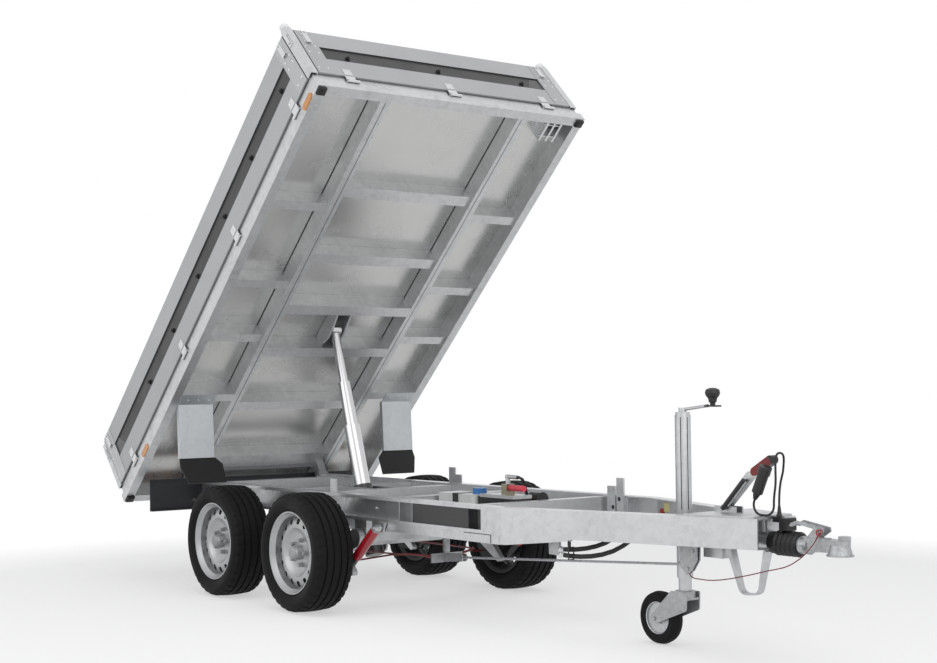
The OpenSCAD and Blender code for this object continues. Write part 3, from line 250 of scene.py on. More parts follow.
def rubbery(name, color, rough=(0.55, 0.75), grain=300, specular=0.5):
    """Black rubber with a dusty bloom in places."""
    mat, tree, shader = new_material(name, color, 0, rough[0], Specular_IOR_Level=specular)
    vector = scaled_coords(tree, (1, 1, 1))
    bloom = noise(tree, vector, 11, 4)
    link(tree, ramp(tree, bloom, [(0.35, color), (0.75, shade(color, 1.7))]), shader.inputs["Base Color"])
    link(tree, remap(tree, bloom, rough[0], rough[1], 0.3, 0.7), shader.inputs["Roughness"])
    bump(tree, shader, noise(tree, vector, grain, 2), 0.0003, 0.4)
    return mat


M = {
    "zinc": galvanised("zinc", (0.52, 0.53, 0.54)),
    "zinc_beam": galvanised("zinc_beam", (0.58, 0.59, 0.60), rough=(0.26, 0.42), contrast=0.10),
    "zinc_rough": galvanised("zinc_rough", (0.40, 0.41, 0.42), rough=(0.40, 0.60), contrast=0.18, spangle=90),
    "sheet": galvanised("sheet", (0.60, 0.60, 0.59), metallic=1.0, rough=(0.22, 0.30), spangle=12, contrast=0.015,
                        wave=0.00012),
    "panel": brushed("panel", (0.42, 0.43, 0.435), (0.4, 14, 14), rough=(0.36, 0.50), metallic=0.7),
    "stripe": painted("stripe", (0.030, 0.030, 0.031), rough=(0.35, 0.5)),
    "patch": painted("patch", (0.010, 0.010, 0.011), rough=(0.12, 0.2), coat=0.3),
    "cap": brushed("cap", (0.46, 0.47, 0.48), (1, 3, 14), rough=(0.22, 0.34)),
    "latch": brushed("latch", (0.66, 0.67, 0.68), (6, 6, 6), rough=(0.14, 0.26), metallic=1.0),
    "guard": galvanised("guard", (0.52, 0.54, 0.56), metallic=0.7, rough=(0.34, 0.48), contrast=0.06),
    "rim": painted("rim", (0.44, 0.445, 0.45), rough=(0.34, 0.44), metallic=0.75, coat=0.2),
    # Darker copy of the rim colour, as painted shade on the barrel's inner side; the wheel nuts and cap use it as well.
    "barrel": painted("barrel", (0.34, 0.345, 0.35), rough=(0.4, 0.55), metallic=0.6),
    # Near black: the brake drums' own colour, and painted shade on the rims' barrels and vent walls, along the bed
    # beams, by the gusset and in the punched holes; the jockey post's lines use it too.
    "drum": painted("drum", (0.016, 0.017, 0.018), rough=(0.5, 0.7)),
    "tyre": rubbery("tyre", (0.0050, 0.0050, 0.0054), rough=(0.62, 0.8), specular=0.20),
    "rubber": rubbery("rubber", (0.009, 0.009, 0.010), rough=(0.42, 0.6), specular=0.4),
    "flap": rubbery("flap", (0.007, 0.007, 0.008), rough=(0.4, 0.6), specular=0.3),
    "plastic": painted("plastic", (0.012, 0.012, 0.013), rough=(0.34, 0.48), grain=220),
    "plug": painted("plug", (0.010, 0.010, 0.011), rough=(0.28, 0.40), grain=180),
    "board": painted("board", (0.035, 0.037, 0.040), rough=(0.38, 0.5)),
    "lamp": painted("lamp", (0.36, 0.008, 0.007), rough=(0.08, 0.14), coat=0.8),
    "amber": painted("amber", (0.66, 0.26, 0.05), rough=(0.16, 0.26), coat=0.5),
    "lens": painted("lens", (0.72, 0.73, 0.74), rough=(0.08, 0.14), coat=0.8),
    "red": painted("red", (0.36, 0.010, 0.020), rough=(0.22, 0.34), coat=0.4),
    "grip_red": painted("grip_red", (0.20, 0.016, 0.014), rough=(0.35, 0.5)),
    "knob": painted("knob", (0.72, 0.06, 0.10), rough=(0.30, 0.42)),
    "blue": painted("blue", (0.04, 0.18, 0.45), rough=(0.30, 0.42)),
    "yellow": painted("yellow", (0.66, 0.60, 0.26), rough=(0.45, 0.6)),
    "pump_black": painted("pump_black", (0.014, 0.014, 0.015), rough=(0.26, 0.38), coat=0.2),
    "tank": painted("tank", (0.62, 0.63, 0.62), rough=(0.30, 0.42)),
    "chrome": brushed("chrome", (0.72, 0.72, 0.73), (6, 6, 0.6), rough=(0.06, 0.12), metallic=1.0, contrast=0.03),
    "rod": brushed("rod", (0.58, 0.58, 0.59), (6, 6, 0.6), rough=(0.16, 0.26), metallic=1.0, contrast=0.04),
    "brass": brushed("brass", (0.34, 0.31, 0.22), (4, 4, 4), rough=(0.25, 0.38), metallic=1.0),
    "red_cable": painted("red_cable", (0.17, 0.015, 0.018), rough=(0.3, 0.4)),
}


def finish(node, *names):
    """Gives a CAD node its materials, the first of them all over."""
    mesh = nodes[node].data
    mesh.materials.clear()
    for name in names:
        mesh.materials.append(M[name])
    for face in mesh.polygons:
        face.material_index = 0


def paint(node, index, space, test):
    """Faces of a CAD node whose centre and normal, in a space's own axes, pass the test get another material."""
    inverse = space.inverted()
    turn = inverse.to_3x3()
    mesh = nodes[node].data
    for face in mesh.polygons:
        if test(inverse @ face.center, (turn @ face.normal).normalized()):
            face.material_index = index


# Free cords, along the same points as their CAD tubes
LEAD_D = 0.008
LEAD_Y = -0.051
PLUG_AT = Vector((2.519, 0.576))
PLUG_LEAN = math.radians(25)
LOOP_R = 0.034
FRONT_R = LOOP_R + 0.002


def bez(a, b, c, d, n):
    points = [Vector(p) for p in (a, b, c, d)]
    weights = [((1 - s) ** 3, 3 * s * (1 - s) ** 2, 3 * s * s * (1 - s), s ** 3) for s in (i / n for i in range(n + 1))]
    return [sum((p * w for p, w in zip(points, row)), Vector((0, 0, 0))) for row in weights]


def lead_route():
    stop = PLUG_AT - 0.006 * Vector((math.sin(PLUG_LEAN), math.cos(PLUG_LEAN)))
    loop_c = stop + LOOP_R * Vector((math.cos(PLUG_LEAN), -math.sin(PLUG_LEAN)))
    front_c = Vector((2.570, loop_c.y + 0.002))
    route = [Vector((2.576, 0.010, RAIL_TOP + 0.0023))]
    route += bez((2.576, .010, .524), (2.576, .010, .570), (2.552, .036, .610), (2.570, .036, .660), 8)
    route += bez((2.573, .036, .670), (2.580, .036, .715), (2.592, .026, .738), (2.596, -.008, .738), 7)
    route += bez((2.598, -.016, .737), (2.608, -.044, .732), (2.616, LEAD_Y, .700), (2.616, LEAD_Y, .660), 7)
    route += bez((2.616, LEAD_Y, .648), (2.616, LEAD_Y, .620), (2.607, LEAD_Y, .600),
                 (front_c.x + FRONT_R, LEAD_Y, front_c.y + .008), 3)
    for k in range(6):
        a = math.radians(-18 * k)
        route.append(Vector((front_c.x + FRONT_R * math.cos(a), LEAD_Y, front_c.y + FRONT_R * math.sin(a))))
    for k in range(8):
        a = -math.pi / 2 - k / 7 * (math.pi / 2 + PLUG_LEAN)
        route.append(Vector((loop_c.x + LOOP_R * math.cos(a), LEAD_Y, loop_c.y + LOOP_R * math.sin(a))))
    route.append(Vector((PLUG_AT.x, LEAD_Y, PLUG_AT.y)))
    return route


BREAKAWAY_D = 0.004
BREAKAWAY = [(2.196, -.054, .2986), (2.196, -.054, .291), (2.199, -.054, .283), (2.208, -.054, .276),
             (2.225, -.054, .2725), (2.246, -.054, .272), (2.291, -.054, .272), (2.340, -.054, .277),
             (2.392, -.054, .286), (2.446, -.054, .298), (2.512, -.054, .314), (2.577, -.054, .331),
             (2.620, -.053, .341), (2.660, -.051, .353), (2.700, -.048, .374), (2.732, -.044, .398),
             (2.757, -.040, .424), (2.773, -.034, .448), (2.780, -.029, .466), (2.782, -.0243, .474)]


def tube(name, points, diameter, material, body="chassis", space=CHASSIS):
    """Round tube along points, as a curve that its handles smooth."""
    data = bpy.data.curves.new(name, "CURVE")
    data.dimensions = "3D"
    data.bevel_depth = diameter / 2
    data.bevel_resolution = 4
    data.resolution_u = 6
    data.use_fill_caps = True
    spline = data.splines.new("BEZIER")
    spline.bezier_points.add(len(points) - 1)
    for knot, point in zip(spline.bezier_points, points):
        knot.co = space @ Vector(point)
        knot.handle_left_type = "AUTO"
        knot.handle_right_type = "AUTO"
    data.materials.append(M[material])
    obj = bpy.data.objects.new(name, data)
    bpy.context.scene.collection.objects.link(obj)
    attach(obj, body)
    return obj


def run_length(points):
    return sum((Vector(b) - Vector(a)).length for a, b in zip(points, points[1:]))


LEAD_LENGTH = round(run_length(lead_route()), 3)
lead = tube("lead_sheath", lead_route(), LEAD_D, "rubber")
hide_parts("lead")
CHASSIS @ lead_route()[0]
breakaway = tube("breakaway_sheath", BREAKAWAY, BREAKAWAY_D, "red_cable")
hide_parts("breakaway_cable")


# Finishes of the CAD nodes
WHEELS = ["front_left", "front_right", "rear_left", "rear_right"]
FINISHES = {
    "zinc": ["cylinder_cradle", "axle_front", "axle_rear", "lift_bracket", "jockey_post", "jockey_clamp",
             "overrun_housing", "rest_bow", "handbrake_lever"],
    "zinc_beam": ["rail_left", "rail_right", "under_beams", "drawbar_left", "drawbar_right", "crossmembers", "bed_rim",
                  "bed_beams", "bed_crossbeams", "bed_outriggers", "corner_posts"],
    "guard": ["mudguards"],
    "zinc_rough": ["brake_linkage", "jockey_fork", "coupling_head", "coupling_handle"],
    "sheet": ["bed_floor"],
    "rubber": ["hoses", "overrun_boot"],
    "flap": ["mud_flaps"],
    "tyre": ["jockey_wheel"] + ["tyre_" + w for w in WHEELS],
    "rim": ["rim_" + w for w in WHEELS],
    "plastic": ["handbrake_grip", "jockey_crank"],
    "plug": ["lead_plug"],
    "board": ["lamp_board"],
    "lamp": ["rear_lamps"],
    "amber": ["reflectors"],
    "pump_black": ["pump_unit", "cylinder_barrel", "handbrake_strut"],
    "tank": ["pump_tank"],
    "rod": ["cylinder_stage_1", "cylinder_stage_2", "cylinder_rod"],
    "red": ["dampers"],
    "red_cable": ["breakaway_cable"],
}
for material, names in FINISHES.items():
    for name in names:
        finish(name, material)
finish("lead", "rubber")

# Panels: dark stripe in the recess, black hooks on it, bright end caps
BAND = (0.114, 0.198)
BAND_DEPTH = 0.006
CAP_L = 0.084
HOOK_R = 0.012
side_hooks = [f * BED_L for f in (0.24, 0.375, 0.51, 0.65, 0.78, 0.92)]
end_hooks = [f * END_HALF for f in (-0.7, 0, 0.7)]


def panel_space(kind):
    """Axes of a panel: along it, out of its face and up from its lower edge, with the origin midway along."""
    if kind == "side_left":
        turn = Matrix(((1, 0, 0, BED_L / 2), (0, 1, 0, HALF_W), (0, 0, 1, SIDE_Z), (0, 0, 0, 1)))
    elif kind == "side_right":
        turn = Matrix(((1, 0, 0, BED_L / 2), (0, -1, 0, -HALF_W), (0, 0, 1, SIDE_Z), (0, 0, 0, 1)))
    elif kind == "front_panel":
        turn = Matrix(((0, 1, 0, BED_L), (1, 0, 0, 0), (0, 0, 1, SIDE_Z), (0, 0, 0, 1)))
    else:
        turn = Matrix(((0, -1, 0, 0), (1, 0, 0, 0), (0, 0, 1, SIDE_Z), (0, 0, 0, 1)))
    return BED @ turn


PANELS = {
    "side_left": (BED_L / 2 - SIDE_START, [u - BED_L / 2 for u in side_hooks]),
    "side_right": (BED_L / 2 - SIDE_START, [u - BED_L / 2 for u in side_hooks]),
    "front_panel": (END_HALF, end_hooks),
    "tailgate": (END_HALF, end_hooks),
}
for name, (half, hooks) in PANELS.items():
    finish(name, "panel", "stripe", "cap" if name.startswith("side") else "panel", "plastic", "latch")
    space = panel_space(name)
    paint(name, 1, space, lambda c, n: BAND[0] - .003 < c.z < BAND[1] + .003 and -BAND_DEPTH - .001 < c.y < -0.001
          and abs(c.x) < half - CAP_L + .002)
    paint(name, 2, space, lambda c, n: abs(c.x) > half - CAP_L - .001 and c.y > -SIDE_T / 2 and c.z < SIDE_H - .011)
    paint(name, 3, space, lambda c, n: any(abs(c.x - h) < HOOK_R + .001 for h in hooks) and c.y > -BAND_DEPTH + .0005
          and BAND[0] + .016 < c.z < BAND[0] + .044)
    paint(name, 4, space, lambda c, n: c.z < .0045 and (c.y > .0005 or c.z < -.001))

# Dampers: the lower tube is black; their bolts and lugs are zinc
finish("dampers", "red", "pump_black", "zinc")
DAMPER_LOW = Vector((0.118, -0.094))
DAMPER_TOP = Vector((0.364, 0.118))
damper_dir = (DAMPER_TOP - DAMPER_LOW).normalized()
for axle_x in (-AXLE_GAP / 2, AXLE_GAP / 2):
    low = Vector((axle_x, TYRE_R)) + DAMPER_LOW
    reach = (DAMPER_TOP - DAMPER_LOW).length

    def along(c, low=low):
        return (Vector((c.x, c.z)) - low).dot(damper_dir)

    def near(c, low=low):
        return abs((Vector((c.x, c.z)) - low).cross(damper_dir)) < 0.05

    paint("dampers", 1, CHASSIS, lambda c, n: near(c) and -0.03 < along(c) < 0.119)
    paint("dampers", 2, CHASSIS, lambda c, n: near(c) and reach - 0.02 < along(c) < reach + 0.08)

# Grip: red below, with a black end
finish("handbrake_grip", "plastic", "grip_red")
paint("handbrake_grip", 1, CHASSIS, lambda c, n: c.x < 2.54 and abs(n.y) > 0.5)

# Crank: bright arm that ends in a black plate and knob
finish("jockey_crank", "plastic", "zinc")
paint("jockey_crank", 1, CHASSIS, lambda c, n: c.x < 2.2455 and c.z < 0.917)

# Jockey wheel: rubber tyre on a grey steel centre
finish("jockey_wheel", "tyre", "zinc")
jockey_axle = Vector(joints["jockey_wheel_spin"]["pos_m"])
paint("jockey_wheel", 1, Matrix.Translation(jockey_axle), lambda c, n: math.hypot(c.x, c.z) < 0.0605)

# Tank with a blue cap; pump with a bright top, a brass block and a red knob
finish("pump_tank", "tank", "blue")
paint("pump_tank", 1, CHASSIS, lambda c, n: c.z > 0.5195)
finish("pump_unit", "pump_black", "brass", "knob", "zinc")
paint("pump_unit", 3, CHASSIS, lambda c, n: c.y > -0.30 and (c.z < 0.4355 or 0.5105 < c.z < 0.5275 and c.x > 1.0)
      and c.y < 0.012 or c.y > -0.30 and c.z < 0.4355)
paint("pump_unit", 1, CHASSIS, lambda c, n: 1.121 < c.x < 1.1585 and -0.0825 < c.y < -0.0375 and 0.5275 < c.z < 0.5705)
paint("pump_unit", 2, CHASSIS, lambda c, n: c.x > 1.1583 and -0.0735 < c.y < -0.0465 and 0.540 < c.z < 0.5675)
paint("pump_unit", 3, CHASSIS, lambda c, n: -0.0705 < c.y < -0.0495 and c.z > 0.5705 and c.x > 1.128)

# Hoses: the four thin brake cables are dark red; the socket on the overrun housing is black
finish("hoses", "rubber", "red_cable")
paint("hoses", 1, CHASSIS, lambda c, n: c.z < 0.274 and c.x < 0.69)
finish("overrun_housing", "zinc", "plastic")
paint("overrun_housing", 1, CHASSIS, lambda c, n: c.x > 2.6035 and abs(c.y) < 0.0245 and 0.470 < c.z < 0.5145)


# Mesh shapes that the added pieces are made of
class Shape:
    """A mesh under construction in a space of its own, with a material number for each part."""

    def __init__(self):
        self.bm = bmesh.new()

    def ring(self, points):
        return [self.bm.verts.new(p) for p in points]

    def bridge(self, a, b, index, closed=True):
        count = len(a)
        for i in range(count if closed else count - 1):
            j = (i + 1) % count
            self.bm.faces.new((a[i], a[j], b[j], b[i])).material_index = index

    def loft(self, rings, index=0, closed=True, caps=True):
        """Skin over rings of points; each ring has as many points as the first."""
        made = [self.ring(r) for r in rings]
        for a, b in zip(made, made[1:]):
            self.bridge(a, b, index, closed)
        if caps:
            self.bm.faces.new(list(reversed(made[0]))).material_index = index
            self.bm.faces.new(made[-1]).material_index = index

    def box(self, x, y, z, index=0):
        low = [Vector((a, b, z[0])) for a, b in ((x[0], y[0]), (x[1], y[0]), (x[1], y[1]), (x[0], y[1]))]
        high = [Vector((v.x, v.y, z[1])) for v in low]
        self.loft([low, high], index)

    def rod(self, p, q, r, sides=20, index=0, r_end=None):
        p, q = Vector(p), Vector(q)
        turn = (q - p).to_track_quat("Z", "Y").to_matrix()
        r_end = r if r_end is None else r_end
        rings = []
        for at, radius in ((p, r), (q, r_end)):
            rings.append([at + turn @ Vector((radius * math.cos(a), radius * math.sin(a), 0))
                          for a in (2 * math.pi * k / sides for k in range(sides))])
        self.loft(rings, index)

    def lathe(self, at, axis, profile, sides=32, index=0, caps=True):
        """Turned form from pairs of distance along the axis and radius."""
        at = Vector(at)
        turn = Vector(axis).to_track_quat("Z", "Y").to_matrix()
        rings = [[at + turn @ Vector((r * math.cos(a), r * math.sin(a), h))
                  for a in (2 * math.pi * k / sides for k in range(sides))] for h, r in profile]
        self.loft(rings, index, caps=caps)

    def prism(self, outline, plane, span, index=0):
        """Outline in two axes, drawn out along the third: plane is the missing axis, x, y or z."""
        def place(a, b, c):
            return Vector({"x": (c, a, b), "y": (a, c, b), "z": (a, b, c)}[plane])
        self.loft([[place(a, b, c) for a, b in outline] for c in span], index)

    def hexagon(self, at, axis, across, height, index=0):
        self.lathe(at, axis, [(0, across / 2), (height * 0.85, across / 2), (height, across * 0.42)], 6, index)

    def bolt(self, at, axis, size=0.012, index=0):
        """Washer, hexagon head and the end of its thread."""
        at, axis = Vector(at), Vector(axis).normalized()
        self.lathe(at, axis, [(0, size * 1.05), (size * 0.16, size * 1.05)], 20, index)
        self.hexagon(at + axis * size * 0.16, axis, size * 1.7, size * 0.6, index)
        self.lathe(at + axis * size * 0.76, axis, [(0, size * 0.45), (size * 0.3, size * 0.40)], 12, index)

    def make(self, name, body, materials, space=CHASSIS, bevel=0.0, smooth=40):
        """Finished piece that rides on a body."""
        bmesh.ops.recalc_face_normals(self.bm, faces=self.bm.faces)
        mesh = bpy.data.meshes.new(name)
        self.bm.to_mesh(mesh)
        self.bm.free()
        mesh.transform(space)
        if space.to_3x3().determinant() < 0:
            mesh.flip_normals()
        for material in materials:
            mesh.materials.append(M[material])
        mesh.shade_smooth()
        mesh.set_sharp_from_angle(angle=math.radians(smooth))
        obj = bpy.data.objects.new(name, mesh)
        bpy.context.scene.collection.objects.link(obj)
        if bevel:
            edge = obj.modifiers.new("bevel", "BEVEL")
            edge.width = bevel
            edge.segments = 2
            edge.limit_method = "ANGLE"
            edge.angle_limit = math.radians(40)
            edge.harden_normals = False
        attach(obj, body)
        return obj


# Road tyres with ribs, grooves and notched shoulders
GROOVE = 0.0065
TREAD_HALF = 0.078


def tyre_profile():
    """Pairs of distance across the tyre and radius, from bead to bead."""
    half = TYRE_W / 2
    side = [(half - .032, RIM_R - .014), (half - .022, RIM_R - .004), (half - .016, RIM_R + .004),
            (half - .008, RIM_R + .012), (half - .0035, RIM_R + .022), (half - .0020, RIM_R + .024),
            (half - .0016, RIM_R + .030), (half - .0002, RIM_R + .036), (half, RIM_R + .042),
            (half - .001, RIM_R + .050), (half - .0035, TYRE_R - .026), (half - .006, TYRE_R - .022),
            (half - .0095, TYRE_R - .015), (half - .013, TYRE_R - .009)]
    tread = []
    grooves = [-.052, -.018, .018, .052]
    for g in grooves:
        for dx, depth in ((-.0055, 0), (-.0040, GROOVE), (.0040, GROOVE), (.0055, 0)):
            x = g + dx
            tread.append((x, TYRE_R - .0006 - 0.9 * x * x - depth))
    shoulder = [(-TREAD_HALF, TYRE_R - .0055), (-.070, TYRE_R - .0042)]
    left = [(-x, r) for x, r in side]
    return left + shoulder + tread + [(-x, r) for x, r in reversed(shoulder)] + side[::-1]


def road_tyre(corner):
    sign = 1 if corner.endswith("left") else -1
    axle = Vector(joints["wheel_" + corner + "_spin"]["pos_m"])
    profile = tyre_profile()
    steps = 216
    shape = Shape()
    rings = []
    for k in range(steps):
        a = 2 * math.pi * k / steps
        ring = []
        for x, r in profile:
            edge = abs(x)
            notch = 0.0
            if 0.060 < edge < 0.0895 and r > TYRE_R - .016 and k % 6 < 2:
                notch = 0.0050
            elif edge < 0.046 and r > TYRE_R - .004 and (k + int(x * 400)) % 9 == 0:
                notch = 0.0028
            ring.append(Vector(((r - notch) * math.sin(a), sign * x, (r - notch) * math.cos(a))))
        rings.append(shape.ring(ring))
    for a, b in zip(rings, rings[1:] + rings[:1]):
        shape.bridge(a, b, 0)
    piece = shape.make("road_tyre_" + corner, "wheel_" + corner, ["tyre"], Matrix.Translation(axle), smooth=28)
    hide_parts("tyre_" + corner)


for corner in WHEELS:
    road_tyre(corner)


# Rims: barrel with rolled flanges, dished disc with round vents, drum and hub; painted shade darkens the barrel's inner
# side and the walls of the vents
VENTS = 15
VENT_R = 0.137
VENT_HALF = 0.0135
ARC_STEPS = 8
DISC_T = 0.005
DISC = [(0.030, 0.031), (0.046, 0.031), (0.066, 0.029), (0.084, 0.032), (0.098, 0.041), (0.108, 0.050),
        (0.1205, 0.0515), (0.1335, 0.0500), (0.1545, 0.0400), (0.1600, 0.0360)]
BAND_IN, BAND_OUT = 0.1205, 0.1535


def disc_height(r):
    for (r0, h0), (r1, h1) in zip(DISC, DISC[1:]):
        if r <= r1:
            return h0 + (h1 - h0) * max(0.0, r - r0) / (r1 - r0)
    return DISC[-1][1]


def on_disc(r, angle, drop):
    return Vector((r * math.cos(angle), r * math.sin(angle), disc_height(r) - drop))


def disc_skin(shape, drop):
    """One face of the disc with its vents open; returns its inner and outer ring and the rings of the vents."""
    count = VENTS * ARC_STEPS
    angles = [2 * math.pi * k / count for k in range(count)]
    inner = [shape.ring([on_disc(r, a, drop) for a in angles]) for r, _ in DISC if r <= BAND_IN]
    outer = [shape.ring([on_disc(r, a, drop) for a in angles]) for r in (BAND_OUT, DISC[-1][0])]
    for rings in (inner, outer):
        for one, two in zip(rings, rings[1:]):
            shape.bridge(one, two, 0)
    vents = []
    for k in range(VENTS):
        here = [(k * ARC_STEPS + j) % count for j in range(ARC_STEPS + 1)]
        edge = [inner[-1][i] for i in here] + [outer[0][i] for i in reversed(here)]
        middle = 2 * math.pi * (k + 0.5) / VENTS
        vent = []
        for vertex in edge:
            radius = math.hypot(vertex.co.x, vertex.co.y)
            turn = math.atan2(vertex.co.y, vertex.co.x) - middle
            turn = (turn + math.pi) % (2 * math.pi) - math.pi
            step = Vector((radius - VENT_R, turn * VENT_R)).normalized() * VENT_HALF
            vent.append(on_disc(VENT_R + step.x, middle + step.y / VENT_R, drop))
        vent = shape.ring(vent)
        shape.bridge(edge, vent, 0)
        vents.append(vent)
    return inner[0], outer[-1], vents


def road_rim(corner, space):
    half = TYRE_W / 2 - 0.014
    r = RIM_R
    barrel = [(half - .005, r), (half, r - .0015), (half + .0002, r - .006), (half - .004, r - .009),
              (half - .012, r - .016), (half - .020, r - .0235), (0, r - .0235), (-half + .008, r - .022),
              (-half, r - .008), (-half, r - .001), (-half + .008, r - .015), (-half + .014, r - .018),
              (half - .018, r - .0175), (half - .011, r - .009), (half - .005, r)]
    shape = Shape()
    shape.lathe((0, 0, 0), (0, 0, 1), barrel, 96, 2, caps=False)
    # The barrel's inner side is painted shade: a darker copy of the rim colour, near black behind the disc; only its
    # outer flange keeps the rim colour.
    for face in shape.bm.faces:
        if face.calc_center_median().z > half - 0.0215:
            face.material_index = 0
        elif face.calc_center_median().z < 0.026:
            face.material_index = 1
    front, back = disc_skin(shape, 0), disc_skin(shape, DISC_T)
    shape.bridge(front[0], back[0], 0)
    shape.bridge(front[1], back[1], 0)
    # The walls of the vents are near black: painted shade inside the holes.
    for one, two in zip(front[2], back[2]):
        shape.bridge(one, two, 1)
    shape.lathe((0, 0, 0), (0, 0, 1), [(DRUM_BACK, 0.100), (0.018, 0.100), (0.022, 0.096)], 64, 1)
    shape.lathe((0, 0, 0), (0, 0, 1), [(0.020, 0.0328), (0.054, 0.0328), (0.058, 0.0318), (0.068, 0.0288),
                                       (0.0700, 0.0276)], 48, 0)
    bmesh.ops.remove_doubles(shape.bm, verts=shape.bm.verts, dist=1e-6)
    piece = shape.make("road_rim_" + corner, "wheel_" + corner, ["rim", "drum", "barrel"], space, smooth=32)
    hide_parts("rim_" + corner)


# Wheels: rim, nuts, cap and valve
DRUM_BACK = -0.127
OUTWARD = {1: Matrix.Rotation(math.radians(-90), 4, "X"), -1: Matrix.Rotation(math.radians(90), 4, "X")}
NUT_R = 0.056
for corner in WHEELS:
    wheel_space = (Matrix.Translation(Vector(joints["wheel_" + corner + "_spin"]["pos_m"]))
                   @ OUTWARD[1 if corner.endswith("left") else -1])
    road_rim(corner, wheel_space)
    shape = Shape()
    for k in range(5):
        a = 2 * math.pi * k / 5
        at = Vector((NUT_R * math.cos(a), NUT_R * math.sin(a), 0.0296))
        shape.lathe(at, (0, 0, 1), [(0, 0.0118), (0.0026, 0.0108)], 20)
        shape.hexagon(at + Vector((0, 0, 0.0024)), (0, 0, 1), 0.019, 0.020)
    shape.lathe((0, 0, 0.0695), (0, 0, 1), [(0, 0.0276), (0.003, 0.0272), (0.0062, 0.0235), (0.0078, 0.0140)], 32)
    shape.rod((0.149, 0.012, 0.036), (0.152, 0.012, 0.070), 0.0045, 12, 1, 0.0036)
    shape.make("wheel_nuts_" + corner, "wheel_" + corner, ["barrel", "rubber"], wheel_space, bevel=0.0006)
for name, axle_x in (("axle_front", AXLE_GAP / 2), ("axle_rear", -AXLE_GAP / 2)):
    finish(name, "zinc", "drum")
    paint(name, 1, CHASSIS, lambda c, n: math.hypot(c.x - axle_x, c.z - TYRE_R) < 0.117 and abs(c.y) > 0.4455)

# Rivets, hooks, hinge leaves, latches and stripe ends of the panels
HINGES = {"side_left": [f * BED_L - BED_L / 2 for f in (0.0924, 0.3818, 0.6566, 0.9277)],
          "front_panel": [-0.78 * END_HALF, 0, 0.78 * END_HALF], "tailgate": []}
HINGES["side_right"] = HINGES["side_left"]
LATCH_Z = {"side_left": 0.212, "side_right": 0.212, "front_panel": 0.212, "tailgate": 0.016}
STRIPE_END = {"side_left": -1, "side_right": -1, "front_panel": 1, "tailgate": 1}
RIVET = [(0, 0.0056), (0.0012, 0.0052), (0.0022, 0.0034)]
HOOK = [(0, 0.0088), (0.003, 0.0078), (0.0045, 0.0052), (0.0072, 0.0052), (0.0088, 0.0098), (0.0102, 0.0092)]
for name, (half, hooks) in PANELS.items():
    shape = Shape()
    for side in (-1, 1):
        for dx in (0.018, 0.064):
            for z in (0.040, 0.150, 0.196):
                shape.lathe((side * (half - dx), 0.0013, z), (0, 1, 0), RIVET, 12)
        # Over-centre latch: base, lever with a folded end and the claw's rod
        x = [side * (half - d) for d in (0.060, 0.022)]
        z = LATCH_Z[name]
        shape.box(sorted(x), (0.0013, 0.0034), (z, z + 0.084))
        mid = sum(x) / 2
        shape.box((mid - 0.012, mid + 0.012), (0.0034, 0.0082), (z + 0.010, z + 0.070))
        shape.box((mid - 0.014, mid + 0.014), (0.0060, 0.0108), (z + 0.002, z + 0.012))
        for dx in (-0.009, 0.009):
            shape.rod((mid + dx, 0.0060, z + 0.058), (mid + dx, 0.0060, z + 0.091), 0.0024, 10)
        shape.rod((mid - 0.014, 0.0060, z + 0.060), (mid + 0.014, 0.0060, z + 0.060), 0.0034, 12)
        # Black end of the stripe, cut at a slant
        if side == STRIPE_END[name]:
            end = side * (half - CAP_L - 0.0006)
            shape.prism([(end, BAND[0] + .002), (end, BAND[1] - .002), (end - side * .052, BAND[1] - .002),
                         (end - side * .098, BAND[0] + .002)], "y", (-BAND_DEPTH - .0002, -BAND_DEPTH + .0012), 2)
    for h in hooks:
        shape.lathe((h, 0.0006, BAND[0] + 0.030), (0, 1, 0), HOOK, 18, 1)
    for h in HINGES[name]:
        shape.box((h - 0.021, h + 0.021), (-0.0002, 0.0024), (0.006, 0.046))
        for dx in (-0.011, 0.011):
            shape.lathe((h + dx, 0.0024, 0.032), (0, 1, 0), RIVET, 12)
    shape.make(name + "_hardware", name, ["latch", "plastic", "patch"], panel_space(name), bevel=0.0005)

# Hinge ears and their pins outside the rim are bright
finish("bed_rim", "zinc_beam", "latch")
paint("bed_rim", 1, BED, lambda c, n: abs(c.y) > HALF_W + 0.0005 or c.x > BED_L + 0.0005)

# Bed: rubber feet under its corners, slatted bracket, latch plates and ropes' pegs on the corner posts
shape = Shape()
for side in (-1, 1):
    for u in ((0.008, 0.046), (BED_L - 0.046, BED_L - 0.008)):
        v = sorted((side * 0.699, side * 0.739))
        shape.loft([[Vector((a, b, w)) for a, b in ((u[0] + i, v[0] + i), (u[1] - i, v[0] + i), (u[1] - i, v[1] - i),
                                                    (u[0] + i, v[1] - i))] for i, w in
                    ((0.005, -0.0145), (0.001, -0.0115), (0, -0.004), (0, 0.0002))])
shape.make("bed_feet", "bed", ["rubber"], BED, bevel=0.001)
shape = Shape()
for k in range(3):
    v = 0.560 + 0.040 * k
    shape.box((2.520, 2.625), (v, v + 0.012), (0.020, 0.0858))
    shape.box((2.516, 2.629), (v - 0.006, v + 0.018), (0.0835, 0.0860))
for u in (2.540, 2.606):
    shape.rod((u, 0.552, 0.034), (u, 0.660, 0.034), 0.005, 12)
for side in (-1, 1):
    for u, top in ((0.018, 0.384), (BED_L - 0.018, 0.416)):
        shape.box((u - 0.015, u + 0.015), sorted((side * (HALF_W - .0002), side * (HALF_W + .0028))), (top - .112, top - .030))
        shape.box((u - 0.008, u + 0.008), sorted((side * (HALF_W + .0026), side * (HALF_W + .0085))), (top - .098, top - .040))
        shape.rod((u - 0.011, side * (HALF_W + .0052), top - .052), (u + 0.011, side * (HALF_W + .0052), top - .052), 0.003, 12)
shape.make("post_latches", "bed", ["latch"], BED, bevel=0.0005)
